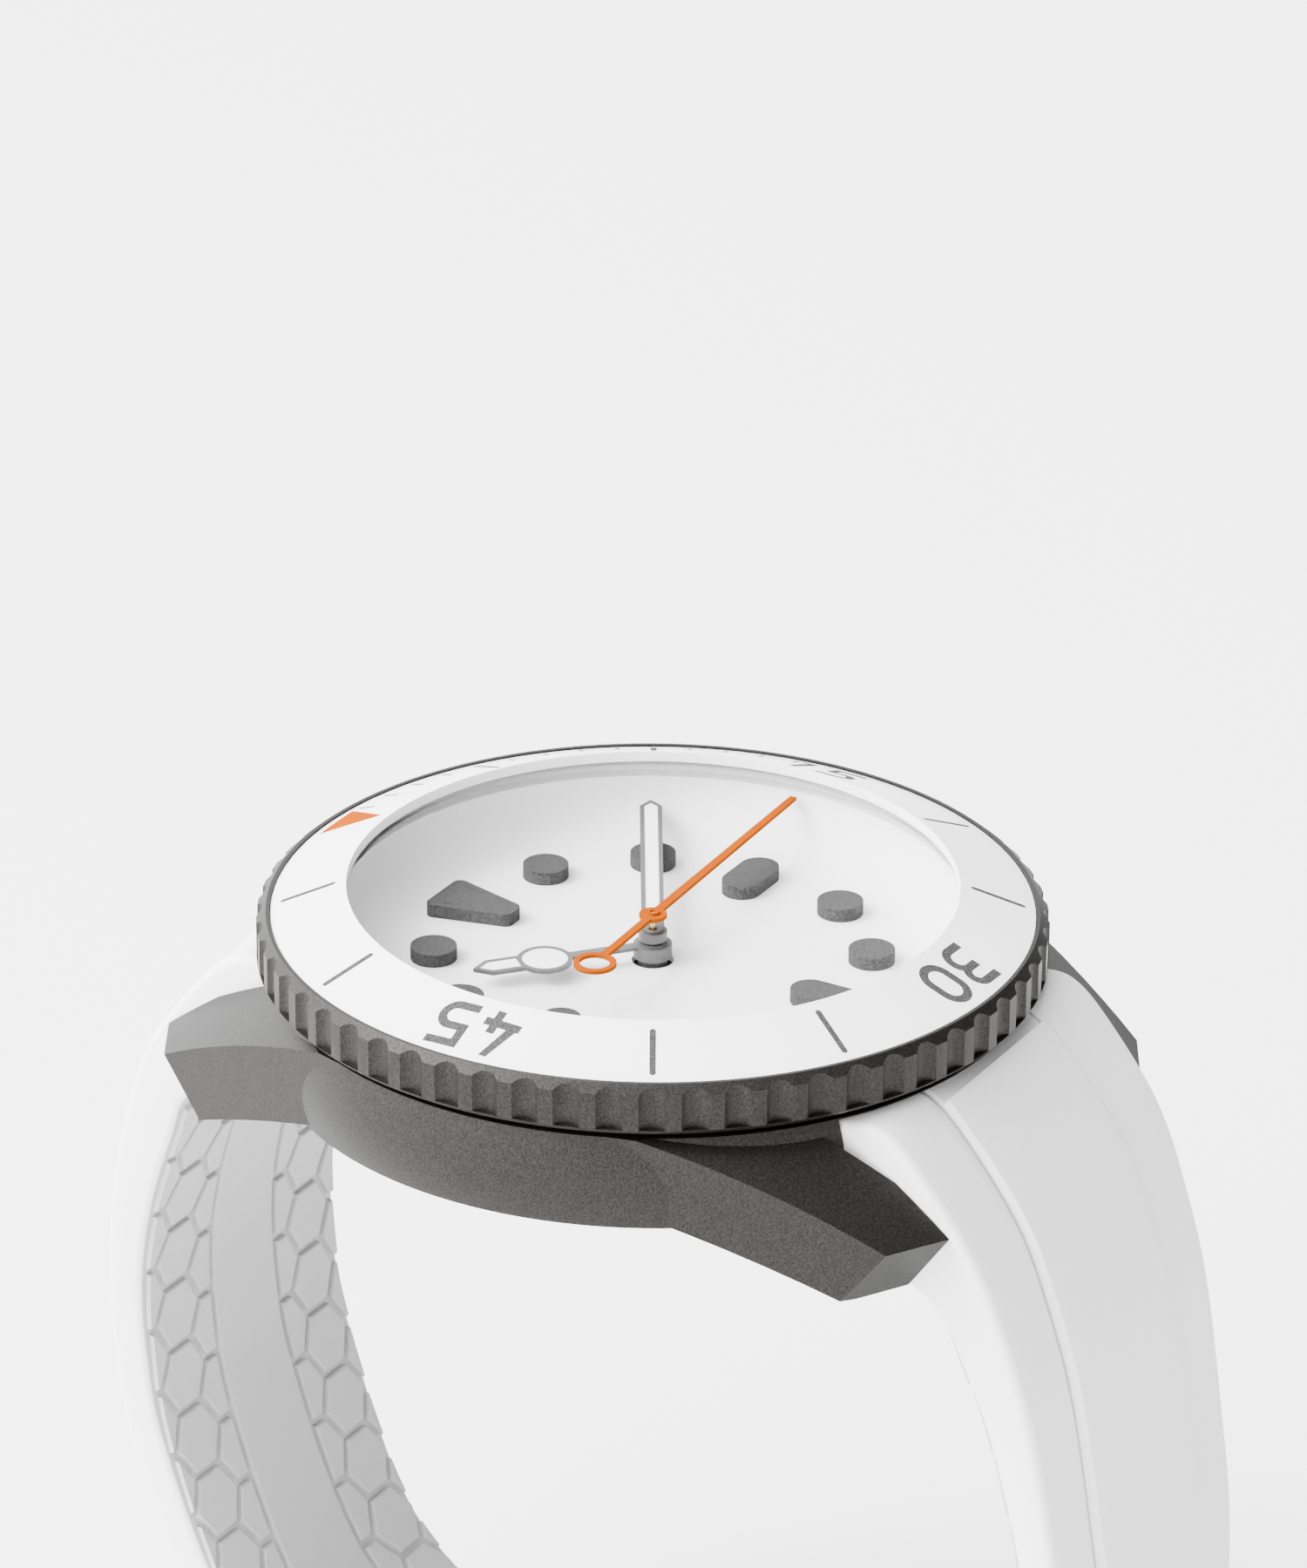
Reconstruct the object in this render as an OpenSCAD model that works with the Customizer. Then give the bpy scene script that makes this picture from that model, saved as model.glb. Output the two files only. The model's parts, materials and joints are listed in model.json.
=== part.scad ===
// Dive watch with a pin-buckle rubber strap, closed and standing on its buckle.
// +Z points up through the dial, +Y to 12 o'clock and +X to 3 o'clock, where the crown is.
// Z = 0 is the flat underside of the buckle and keepers; the dial axis is the Z axis.

/* [Head] */
// Diameter of the turned case flank at its widest
case_d = 42.2; // [40:0.1:51]
// Height of the turned case flank
flank_h = 5.3; // [4.5:0.1:6.4]
// Distance over the lug tips, 12 o'clock to 6 o'clock
lug_span = 48.7; // [46:0.1:58.5]
// Gap between the lugs, which is the strap width at the case
lug_w = 22; // [20:0.5:26.4]
// Height of the bezel scale above the table
head_z = 60; // [54:0.5:72]
// Diameter of the spring bars' bodies at the lugs
bar_d = 1.8; // [1.3:0.1:2.2]

/* [Bezel and glass] */
// Diameter over the bezel's grip
bezel_d = 43; // [42.6:0.1:52]
// Height of the bezel's grip
grip_h = 2.8; // [2:0.1:3.4]
// Number of finger flutes round the bezel
flutes = 60; // [30:10:90]
// Number of clicks in one turn of the bezel
clicks = 120; // [60:60:120]
// Inner diameter of the white scale insert
insert_id = 33.24; // [31:0.02:33.3]
// Thickness of the scale insert
insert_t = 0.6; // [0.5:0.05:0.8]
// Thickness of the glass
glass_t = 1.8; // [1.5:0.05:2]

/* [Dial and hands] */
// Depth of the dial's flat under the bezel scale
dial_depth = 3.32; // [3:0.02:3.6]
// Diameter of the dial's flat centre
dial_flat_d = 27.4; // [26:0.1:29]
// Diameter of the round hour dots
dot_d = 2.55; // [1.5:0.05:3.2]
// Height of the hour blocks
dot_h = 0.76; // [0.3:0.02:0.8]
// Length of the hour hand from its axis
hour_l = 10.24; // [8:0.02:12]
// Length of the minute hand from its axis
minute_l = 16.5; // [13:0.1:16.6]
// Length of the seconds hand from its axis
seconds_l = 16.9; // [13:0.1:16.9]
// Angle of the hour hand at rest, clockwise from 12
hour_a = 311; // [0:1:359]
// Angle of the minute hand at rest, clockwise from 12
minute_a = 59.5; // [0:0.5:359]
// Angle of the seconds hand at rest, clockwise from 12
seconds_a = 87.6; // [0:0.1:359]

/* [Crown] */
// Diameter of the crown
crown_d = 6.2; // [5:0.1:6.3]
// Length of the crown
crown_l = 3.9; // [3:0.1:5]

/* [Strap] */
// Width of the strap at the buckle
strap_end_w = 18.4; // [16:0.2:20]
// Thickness of the strap along the wrist
strap_t = 2.6; // [2.1:0.1:3.2]
// Width of the raised band down the middle of the strap
centre_band_w = 11; // [8:0.5:13]
// Thickness of the tail that passes through the keepers
tail_t = 2; // [1.6:0.1:2.2]
// Length of the buckle frame from its bar to its front
frame_l = 12.4; // [10:0.1:14]
// Width of each keeper along the strap
keeper_w = 3.2; // [2.4:0.1:4]

/* [Hidden] */

big_fn = 180;
mid_fn = 96;
small_fn = 40;
far = 60;

// Running clearance of turning pieces, and the gap between pieces that are only laid together
run_gap = 0.03;
seat_gap = 0.02;
soft_gap = 0.2;

// ---- Case ----
case_r = case_d / 2;
flank_top = head_z - 3.45;
flank_bottom = flank_top - flank_h;
flank_mid = (flank_top + flank_bottom) / 2;
// The flank bulges by this much over its ends
flank_bulge = 0.38;
flank_curve_r = (flank_h * flank_h / 4 + flank_bulge * flank_bulge) / (2 * flank_bulge);
// Inner room of the case, shared by the dial, the holder and the glass seat
room_r = 17.6;
neck_r = room_r + 1.5;
// Case back screwed into the case from below
back_plug_r = room_r + 0.35;
back_thread_h = 1.2;
back_t = 1.2;
back_bottom = flank_bottom - 1.95;
back_flange_r = back_plug_r + 1.3;
// The case wall between the lugs stops here, to leave the strap its room
lug_wall_r = back_plug_r + 0.95;

// ---- Bezel ----
grip_r = bezel_d / 2;
bezel_bottom = head_z - 2.9;
bezel_top = bezel_bottom + grip_h;
bezel_bore_r = neck_r + run_gap;
insert_ir = insert_id / 2;
insert_or = grip_r - 0.77;
cone_tan = 0.393;
// Height of the insert's sloping top at radius r
function insert_z(r) = head_z + (20.19 - r) * cone_tan;
mark_or = insert_or - 0.54;
mark_ir = mark_or - 3;
inlay_t = 0.12;
flute_r = 0.95;
flute_in = 0.34;
flute_floor = 0.3;
grip_foot = 0.28;
bevel_w = 0.52;
bevel_h = 0.45;
click_or = neck_r + 1.15;
click_ir = neck_r + 0.8;
click_h = 0.5;

// ---- Glass ----
glass_r = insert_ir - 0.12;
glass_foot_r = room_r + 0.35;
glass_bottom = head_z - 0.35;
glass_top = glass_bottom + glass_t;
gasket_t = 0.35;
gasket_lip_t = 0.1;
glass_foot_h = 0.4;

// ---- Dial and hands ----
dial_top = head_z - dial_depth;
dial_t = 0.4;
dial_flat_r = dial_flat_d / 2;
dial_r = room_r - 0.05;
dial_rim_z = glass_bottom - 0.04;
dial_rim_t = 0.3;
dial_hole_r = 1.15;
dot_ring_r = 11.9;
pill_ring_r = 10.8;
hand_t = 0.22;
hour_z = dial_top + 0.8;
minute_z = dial_top + 1.57;
seconds_z = dial_top + 2.58;

// ---- Movement levels, counted down from the dial ----
plate_top = dial_top - dial_t - 0.03;
plate_bottom = plate_top - 1.8;
motion_floor = plate_top - 1;
train_top = plate_bottom;
bridge_top = train_top - 2.05;
bridge_bottom = bridge_top - 0.7;
rotor_top = bridge_bottom - 0.3;
rotor_bottom = rotor_top - 0.7;
plate_r = 13;
stem_z = train_top - 0.95;
holder_r = room_r - 0.05;

// ---- Train positions, about the dial axis ----
function polar(r, a) = [r * cos(a), r * sin(a)];
barrel_m = 0.13;
barrel_teeth = 84;
centre_pinion_teeth = 14;
barrel_p = polar(barrel_m * (barrel_teeth + centre_pinion_teeth) / 2, 64);
third_m = 0.1;
centre_teeth = 80;
third_pinion_teeth = 10;
third_p = polar(third_m * (centre_teeth + third_pinion_teeth) / 2, 250);
third_teeth = 75;
fourth_pinion_teeth = 10;
fourth_m = 2 * norm(third_p) / (third_teeth + fourth_pinion_teeth);
escape_m = 0.085;
fourth_teeth = 96;
escape_pinion_teeth = 8;
escape_p = polar(escape_m * (fourth_teeth + escape_pinion_teeth) / 2, 318);
escape_teeth = 20;
escape_r = 2.1;
balance_p = polar(8.4, 300);
balance_r = 3.9;
escape_to_balance = (balance_p - escape_p) / norm(balance_p - escape_p);
pallet_p = escape_p + 2.55 * escape_to_balance;
pallet_a = atan2(escape_to_balance[1], escape_to_balance[0]);
motion_m = 0.16;
cannon_teeth = 12;
minute_teeth = 36;
minute_pinion_teeth = 10;
hour_teeth = 40;
minute_wheel_p = polar(motion_m * (cannon_teeth + minute_teeth) / 2, -40);
hour_m = 2 * norm(minute_wheel_p) / (minute_pinion_teeth + hour_teeth);
crown_wheel_teeth = 22;
ratchet_teeth = 38;
crown_wheel_p = [5.6, 0];
ratchet_m = 2 * norm(barrel_p - crown_wheel_p) / (crown_wheel_teeth + ratchet_teeth);
crown_wheel_r = ratchet_m * crown_wheel_teeth / 2;
reverser_teeth = 30;
rotor_pinion_teeth = 24;
reverser_p = polar(4, 200);
reverser_m = 2 * norm(reverser_p) / (reverser_teeth + rotor_pinion_teeth);

// Arbors, from the innermost outwards
seconds_arbor_r = 0.14;
centre_tube_r = 0.34;
cannon_r = 0.55;
hour_tube_r = 0.8;
pivot_r = 0.08;
arbor_r = 0.2;
jewel_r = 0.5;
cannon_hub_r = 0.78;

// Wheel levels inside the train's room
pinion_top = train_top - 0.12;
drum_top = train_top - 0.1;
drum_bottom = drum_top - 1.1;
centre_wheel_top = drum_bottom - 0.06;
third_wheel_top = centre_wheel_top - 0.26;
fourth_wheel_top = third_wheel_top - 0.28;
wheel_t = 0.18;
escape_top = train_top - 0.25;
balance_top = train_top - 0.65;
hairspring_top = balance_top - 0.7;
ratchet_top = bridge_top - 0.25;
ratchet_t = 0.35;

// ---- Lugs and spring bars ----
lug_tip_y = lug_span / 2;
lug_in = lug_w / 2;
lug_slope = 16;
lug_tip_w = 3.4;
lug_tip_turn = 30;
lug_tip_lean = 31.3;
lug_tip_top = head_z - 8.7;
lug_foot_z = head_z - 12.1;
lug_side_lean = 6;
// Axes of the arcs that shape the lug's top and underside, and their radii
lug_top_tilt = 22.8;
lug_top_r = 56.5;
lug_top_y = lug_tip_y - 33.8;
lug_top_z = lug_tip_top - 49.2;
lug_under_r = 84;
lug_under_y = lug_tip_y - 38.7;
lug_under_z = lug_foot_z - 76.5;
bar_y = lug_tip_y - 2.4;
bar_z = head_z - 9.4;
bar_r = bar_d / 2;
bar_tip_r = 0.5;
bar_tip_l = 1;
bar_clear = 0.05;

// ---- Strap ----
strap_w = lug_w - 2 * 0.1;
strap_taper_top = head_z - 9;
strap_taper_bottom = 8;
keeper_t = 1.2;
keeper_gap = soft_gap;
tail_bottom = keeper_t + keeper_gap;
tail_top = tail_bottom + tail_t;
short_bottom = tail_top + keeper_gap;
short_top = short_bottom + strap_t;
keeper_top = short_top + keeper_gap + keeper_t;
front_bar_h = 2;
over_bar_bottom = front_bar_h + keeper_gap;
buckle_bar_y = -4.6;
buckle_bar_r = 0.75;
buckle_nose_r = strap_t / 2 + 0.1;
buckle_bar_z = short_bottom + strap_t / 2;
front_bar_y = buckle_bar_y - frame_l + 1;
front_bar_w = 2;
rail_w = 1.6;
frame_in = strap_end_w / 2 + 0.35;
frame_out = frame_in + rail_w;
tongue_w = 2;
tongue_t = 0.9;
slot_w = 3;
slot_l = 3.4;
slot_pitch = 6.2;
slot_y = front_bar_y + 4.6;
tongue_z = over_bar_bottom + strap_t + keeper_gap;
fixed_keeper_y = 0;
free_keeper_y = 6.1;
tail_tip_y = 15.5;

// Smooth curve through hand-set points: Catmull-Rom, n steps a span
function cr(p, i, t) =
    let (a = p[max(i - 1, 0)], b = p[i], c = p[i + 1], d = p[min(i + 2, len(p) - 1)])
    0.5 * (2 * b + (c - a) * t + (2 * a - 5 * b + 4 * c - d) * t * t
        + (3 * b - a - 3 * c + d) * t * t * t);
function smooth(p, n) = concat(
    [for (i = [0 : len(p) - 2]) for (k = [0 : n - 1]) cr(p, i, k / n)], [p[len(p) - 1]]);
function turn_left(v) = [-v[1], v[0]] / norm(v);
function beside(c, i, d) =
    let (a = c[max(i - 1, 0)], b = c[min(i + 1, len(c) - 1)]) c[i] + d * turn_left(b - a);

// Outer face of each strap half in the Y-Z plane, from the case down to the table.
// The upper points hang from the lug's spring bar and the lower ones stand on the table.
short_outer = smooth([
    [bar_y - 1.8, bar_z + 5.7], [bar_y + 0.6, bar_z + 3.6], [bar_y + 4, bar_z - 1.1],
    [bar_y + 5.7, bar_z - 5.7], [bar_y + 7, bar_z - 11.2], [bar_y + 7.5, bar_z - 17],
    [bar_y + 7.3, bar_z - 22.8], [bar_y + 6.5, bar_z - 27.6], [bar_y + 4, bar_z - 35],
    [22.8, short_bottom + 6], [17.8, short_bottom + 1.7], [12, short_bottom], [6, short_bottom],
    [buckle_bar_y, short_bottom]], 5);
long_outer = smooth([
    [bar_y - 1.8, bar_z + 5.7], [bar_y + 0.6, bar_z + 3.6], [bar_y + 3.9, bar_z - 0.8],
    [bar_y + 6, bar_z - 5.8], [bar_y + 7.4, bar_z - 10.6], [bar_y + 8.7, bar_z - 17.8],
    [bar_y + 9.6, bar_z - 24], [bar_y + 9.8, bar_z - 31], [31.3, 15.4], [28.3, 8.2], [23.4,
        over_bar_bottom + 1],
    [18.4, over_bar_bottom], [-front_bar_y, over_bar_bottom]], 5);
// Inner side of the strap's root, which fills the room between case and lugs
root_inner = [[bar_y + 1.5, bar_z - 5], [bar_y + 0.2, bar_z - 2.7], [16, bar_z - 2.7], [16, bar_z + 5.7]];
root_i = 16;
band_last = 45;
band_h = 0.45;
// Full thickness near the lugs, easing to the wrist's thickness
function strap_thick(i) = strap_t + 0.9 * max(0, 1 - (i - root_i) / 10);
function band(c) = concat(c,
    [for (i = [len(c) - 1 : -1 : root_i]) beside(c, i, -strap_thick(i))], root_inner);

// Outline of the raised band down the middle of the outer face, sunk 1 mm into the strap
function centre_band(c) = concat([for (i = [3 : band_last]) beside(c, i, band_h)],
    [for (i = [band_last : -1 : 3]) beside(c, i, -1)]);

// ---- General shapes ----
module ring(ri, ro, z0, z1, fn = big_fn) {
    difference() {
        translate([0, 0, z0]) cylinder(r = ro, h = z1 - z0, $fn = fn);
        translate([0, 0, z0 - 1]) cylinder(r = ri, h = z1 - z0 + 2, $fn = fn);
    }
}
module rod(r, z0, z1, fn = small_fn) {
    translate([0, 0, z0]) cylinder(r = r, h = z1 - z0, $fn = fn);
}
module turned(points, fn = big_fn) {
    rotate_extrude($fn = fn) polygon(points);
}
module at(p) {
    translate([p[0], p[1], 0]) children();
}
module along_x(x0, x1) {
    translate([x0, 0, 0]) rotate([90, 0, 90]) linear_extrude(x1 - x0) children();
}
// Stadium outline centred on the origin, w along X and l along Y
module stadium(w, l, fn = small_fn) {
    for (s = [-1, 1]) translate([0, s * (l - w) / 2]) circle(d = w, $fn = fn);
    square([w, l - w], center = true);
}
// Bar with round ends from p to q
module link(p, q, w, z0, z1) {
    a = atan2(q[1] - p[1], q[0] - p[0]);
    translate([(p[0] + q[0]) / 2, (p[1] + q[1]) / 2, z0]) rotate([0, 0, a - 90])
        linear_extrude(z1 - z0) stadium(w, norm(q - p) + w);
}
module at_minute(m, r) {
    rotate([0, 0, -6 * m]) translate([0, r, 0]) children();
}

// ---- Gears ----
function tooth_r(n, m, k) = m * (n / 2 + ((k == 0 || k == 3) ? -1.15 : 0.9));
function gear_points(n, m, phase) = [for (i = [0 : n - 1]) for (k = [0 : 3])
    polar(tooth_r(n, m, k), phase + (i + [-0.3, -0.14, 0.14, 0.3][k]) * 360 / n)];
// Phase that puts gear B's gap on gear A's tooth, B lying at direction a from A
function mesh_phase(a, phase_a, na, nb) = a + 180 - (phase_a - a) * na / nb + 180 / nb;
function direction(p, q) = atan2(q[1] - p[1], q[0] - p[0]);
module gear(n, m, phase, z0, z1) {
    translate([0, 0, z0]) linear_extrude(z1 - z0) polygon(gear_points(n, m, phase));
}
module wheel(n, m, phase, z0, z1) {
    r = m * n / 2;
    difference() {
        gear(n, m, phase, z0, z1);
        for (i = [0 : 4]) rotate([0, 0, 72 * i]) translate([0.56 * r, 0, z0 - 1])
            cylinder(r = 0.24 * r, h = z1 - z0 + 2, $fn = small_fn);
    }
}
origin_p = [0, 0];
centre_pinion_phase = mesh_phase(direction(barrel_p, origin_p), 0, barrel_teeth, centre_pinion_teeth);
third_pinion_phase = mesh_phase(direction(origin_p, third_p), 0, centre_teeth, third_pinion_teeth);
fourth_pinion_phase = mesh_phase(direction(third_p, origin_p), 0, third_teeth, fourth_pinion_teeth);
escape_pinion_phase = mesh_phase(direction(origin_p, escape_p), 0, fourth_teeth, escape_pinion_teeth);
minute_wheel_phase = mesh_phase(direction(origin_p, minute_wheel_p), 0, cannon_teeth, minute_teeth);
hour_wheel_phase = mesh_phase(direction(minute_wheel_p, origin_p), 0, minute_pinion_teeth, hour_teeth);
ratchet_phase = mesh_phase(direction(crown_wheel_p, barrel_p), 0, crown_wheel_teeth, ratchet_teeth);
reverser_phase = mesh_phase(direction(origin_p, reverser_p), 0, rotor_pinion_teeth, reverser_teeth);

// ---- Case pieces ----
module lug() {
    tip = [lug_in + lug_tip_w, lug_tip_y - lug_tip_w * tan(lug_tip_turn)];
    intersection() {
        translate([lug_in, 4, lug_foot_z]) cube([12, 30, 12]);
        // Long outer side, turned in towards the tip and leaning in at the foot
        translate([tip[0], tip[1], lug_tip_top]) rotate([0, 0, lug_slope]) rotate([0, lug_side_lean, 0])
            translate([-far, -far / 2, -far / 2]) cube([far, far, far]);
        // Curved top that falls outwards
        translate([lug_in, lug_top_y, lug_top_z]) rotate([0, 90 + lug_top_tilt, 0])
            cylinder(r = lug_top_r, h = 40, center = true, $fn = 720);
        // Hollow-curved underside
        difference() {
            translate([0, -1, lug_foot_z]) cube([30, 30, 12]);
            translate([-1, lug_under_y, lug_under_z]) rotate([0, 90, 0])
                cylinder(r = lug_under_r, h = 32, $fn = 900);
        }
        // Tip, cut back towards its foot
        rotate([0, 0, -lug_tip_turn]) translate([0, lug_tip_y * cos(lug_tip_turn)
            + lug_in * sin(lug_tip_turn), lug_tip_top]) rotate([-lug_tip_lean, 0, 0])
            translate([-far / 2, -far, -far / 2]) cube([far, far, far]);
        ring(lug_wall_r - 1, 40, lug_foot_z - 1, flank_top + 0.01);
    }
}
module spring_bar_holes(extra) {
    for (s = [-1, 1]) translate([0, s * bar_y, bar_z]) rotate([0, 90, 0])
        cylinder(r = bar_tip_r + bar_clear, h = lug_w + 2 * (bar_tip_l + extra), center = true,
            $fn = small_fn);
}
module case_body() {
    mid_r = case_r - flank_curve_r;
    intersection() {
        ring(room_r, far, back_bottom, head_z + 1);
        union() {
            // Flank turned to a long round
            intersection() {
                turned([for (a = [-17 : 1 : 17]) [mid_r + flank_curve_r * cos(a),
                    flank_mid + flank_curve_r * sin(a)],
                    [room_r - 1, flank_mid + flank_curve_r * sin(17)],
                    [room_r - 1, flank_mid - flank_curve_r * sin(17)]]);
                rod(far, flank_bottom, flank_top, big_fn);
            }
            // Neck that carries the bezel and the glass
            turned([[room_r - 1, flank_top - 1], [neck_r, flank_top - 1],
                [neck_r, insert_z(neck_r) - insert_t - 0.15],
                [glass_foot_r + gasket_t, insert_z(glass_foot_r + gasket_t) - insert_t - 0.15],
                [room_r - 1, insert_z(glass_foot_r + gasket_t) - insert_t - 0.15]]);
        }
    }
}
module mid_case() color([0.42, 0.41, 0.4]) {
    difference() {
        union() {
            difference() {
                case_body();
                // Room for the strap's curved ends between the lugs
                for (s = [-1, 1]) intersection() {
                    ring(lug_wall_r, far, flank_bottom - 1, flank_top + 1);
                    translate([-lug_in, s > 0 ? 5 : -far, flank_bottom - 1])
                        cube([lug_w, far - 5, flank_h + 0.95]);
                }
            }
            for (sx = [0, 1]) for (sy = [0, 1]) mirror([sx, 0, 0]) mirror([0, sy, 0]) lug();
        }
        // Seats of the glass gasket and of the case back
        rod(glass_foot_r + gasket_t, glass_bottom - gasket_lip_t, head_z + 3, big_fn);
        rod(back_plug_r + seat_gap, flank_bottom - 1, flank_bottom + back_thread_h, big_fn);
        rod(back_flange_r + 0.05, back_bottom - 1, flank_bottom, big_fn);
        ring(back_plug_r + 0.2, back_plug_r + 0.75, flank_bottom - 1, flank_bottom + 0.45);
        // Groove for the click spring
        ring(neck_r - 0.35, neck_r + 0.01, bezel_bottom + 0.05, bezel_bottom + 0.45);
        spring_bar_holes(0.2);
        translate([15, 0, stem_z]) rotate([0, 90, 0])
            cylinder(r = tube_r + 0.02, h = case_d / 2 - 14, $fn = small_fn);
    }
}
module case_back() color([0.45, 0.44, 0.43]) {
    top = flank_bottom + back_thread_h;
    gap = seat_gap;
    difference() {
        turned([[0, back_bottom + back_t], [0, back_bottom], [15, back_bottom], [17, back_bottom + 0.25],
            [back_flange_r, flank_bottom - 0.75], [back_flange_r, flank_bottom - gap],
            [back_plug_r, flank_bottom - gap], [back_plug_r, top - 0.1], [back_plug_r - 0.5, top - 0.1],
            [back_plug_r - 0.5, flank_bottom - 0.6], [back_plug_r - 1.2, back_bottom + back_t]]);
        // Notches for the case-back key
        for (i = [0 : 5]) rotate([0, 0, 60 * i]) translate([16.4, 0, back_bottom - 1])
            linear_extrude(1.5) square([1.6, 2.2], center = true);
    }
}
module case_back_gasket() color([0.1, 0.1, 0.1])
    ring(back_plug_r + 0.25, back_plug_r + 0.7, flank_bottom - seat_gap + 0.01, flank_bottom + 0.4);
module crystal() color([0.85, 0.9, 0.95, 0.35]) {
    foot_top = glass_bottom + glass_foot_h;
    edge = 0.32;
    turned([[0, glass_bottom], [glass_foot_r, glass_bottom], [glass_foot_r, foot_top],
        [glass_r, foot_top + 0.55], [glass_r, glass_top - edge],
        [glass_r - edge, glass_top], [0, glass_top]]);
}
module crystal_gasket() color([0.92, 0.92, 0.92]) {
    out_r = glass_foot_r + gasket_t - 0.01;
    lip_top = glass_bottom - 0.01;
    lip_bottom = glass_bottom - gasket_lip_t + 0.01;
    // An L in section: a wall round the glass and a lip under its foot
    turned([[room_r + 0.01, lip_bottom], [out_r, lip_bottom], [out_r, glass_bottom + glass_foot_h - 0.05],
        [glass_foot_r + 0.01, glass_bottom + glass_foot_h - 0.05], [glass_foot_r + 0.01, lip_top],
        [room_r + 0.01, lip_top]]);
}

// ---- Bezel pieces ----
module bezel_ring() color([0.4, 0.39, 0.38]) {
    seat_or = insert_or + 0.04;
    difference() {
        turned([[bezel_bore_r, bezel_bottom], [grip_r - grip_foot, bezel_bottom],
            [grip_r, bezel_bottom + grip_foot],
            [grip_r, bezel_top - bevel_h], [grip_r - bevel_w, bezel_top], [seat_or, bezel_top],
            [seat_or, insert_z(seat_or) - insert_t - seat_gap],
            [bezel_bore_r, insert_z(bezel_bore_r) - insert_t - seat_gap]]);
        for (i = [0 : flutes - 1]) rotate([0, 0, 360 / flutes * i])
            translate([0, grip_r + flute_r - flute_in, bezel_bottom + flute_floor])
            cylinder(r = flute_r, h = grip_h, $fn = 24);
        // Ratchet teeth under the ring, cut as a toothed groove
        translate([0, 0, bezel_bottom - 1]) linear_extrude(1 + click_h) difference() {
            polygon([for (i = [0 : clicks - 1]) for (k = [0 : 1])
                polar(k == 0 ? click_or : click_ir, (i + 0.9 * k) * 360 / clicks)]);
            circle(r = bezel_bore_r - 0.01, $fn = big_fn);
        }
    }
}
// Sloping top layer of the insert
module insert_body(depth0, depth1) {
    turned([[insert_ir, insert_z(insert_ir) - depth0], [insert_or, insert_z(insert_or) - depth0],
        [insert_or, insert_z(insert_or) - depth1], [insert_ir, insert_z(insert_ir) - depth1]]);
}
module bezel_line(m, r0, r1, w) {
    at_minute(m, (r0 + r1) / 2) stadium(w, r1 - r0, 16);
}
digit_h = 2.95;
digit_w = 2.15;
stroke = 0.5;
module bowl(y, r) {
    translate([digit_w - r, y]) difference() {
        circle(r = r, $fn = small_fn);
        circle(r = r - stroke, $fn = small_fn);
        translate([-3, -2]) square([3, 4]);
    }
}
module bar_2d(x0, y0, x1, y1) {
    translate([x0, y0]) square([x1 - x0, y1 - y0]);
}
module digit(n) {
    low_r = (digit_h + stroke) * 0.27;
    up_r = (digit_h + stroke) / 2 - low_r;
    if (n == 0) translate([digit_w / 2, digit_h / 2]) difference() {
        stadium(digit_w, digit_h);
        stadium(digit_w - 2 * stroke, digit_h - 2 * stroke);
    }
    if (n == 1) {
        bar_2d(digit_w / 2, 0, digit_w / 2 + stroke, digit_h);
        bar_2d(digit_w / 2 - 0.5, digit_h - stroke, digit_w / 2 + 0.1, digit_h);
    }
    if (n == 3) {
        bowl(low_r, low_r);
        bowl(digit_h - up_r, up_r);
        bar_2d(0.1, 0, digit_w - low_r + 0.01, stroke);
        bar_2d(0.5, 2 * low_r - stroke, digit_w - low_r + 0.01, 2 * low_r);
        bar_2d(0.1, digit_h - stroke, digit_w - up_r + 0.01, digit_h);
    }
    if (n == 4) {
        bar_2d(1.25, 0, 1.25 + stroke, 1.5);
        bar_2d(0, 0.55, digit_w, 0.55 + stroke);
        polygon([[0, 0.55], [stroke + 0.1, 0.55], [1.3, digit_h], [0.85, digit_h]]);
    }
    if (n == 5) {
        bowl(low_r, low_r);
        bar_2d(0.05, 0, digit_w - low_r + 0.01, stroke);
        bar_2d(0.1, 2 * low_r - stroke, digit_w - low_r + 0.01, 2 * low_r);
        bar_2d(0.1, 2 * low_r - stroke, 0.1 + stroke, digit_h);
        bar_2d(0.1, digit_h - stroke, digit_w - 0.1, digit_h);
    }
}
module numeral(m, tens, units) {
    gap = 0.5;
    at_minute(m, mark_ir) {
        translate([-digit_w - gap / 2, 0]) digit(tens);
        translate([gap / 2, 0]) digit(units);
    }
}
module scale_2d() {
    for (m = [5, 10, 20, 25, 35, 40, 50, 55]) bezel_line(m, mark_ir, mark_or, 0.34);
    for (m = [1 : 14]) if (m % 5 != 0) bezel_line(m, mark_or - 1.1, mark_or, 0.24);
    numeral(15, 1, 5);
    numeral(30, 3, 0);
    numeral(45, 4, 5);
}
module triangle_2d() {
    at_minute(0, 0) polygon([[-1.75, mark_or + 0.1], [1.75, mark_or + 0.1], [0, mark_or - 2.9]]);
}
module inlay_prism() {
    translate([0, 0, head_z - 3]) linear_extrude(6) children();
}
module bezel_insert() color([0.96, 0.96, 0.96]) difference() {
    insert_body(0, insert_t);
    intersection() {
        insert_body(-1, inlay_t);
        inlay_prism() scale_2d();
    }
    intersection() {
        insert_body(-1, inlay_t);
        inlay_prism() triangle_2d();
    }
}
module bezel_numerals() color([0.45, 0.45, 0.46]) intersection() {
    insert_body(0, inlay_t);
    inlay_prism() scale_2d();
}
module bezel_triangle() color([0.95, 0.45, 0.15]) intersection() {
    insert_body(0, inlay_t);
    inlay_prism() triangle_2d();
}
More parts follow.
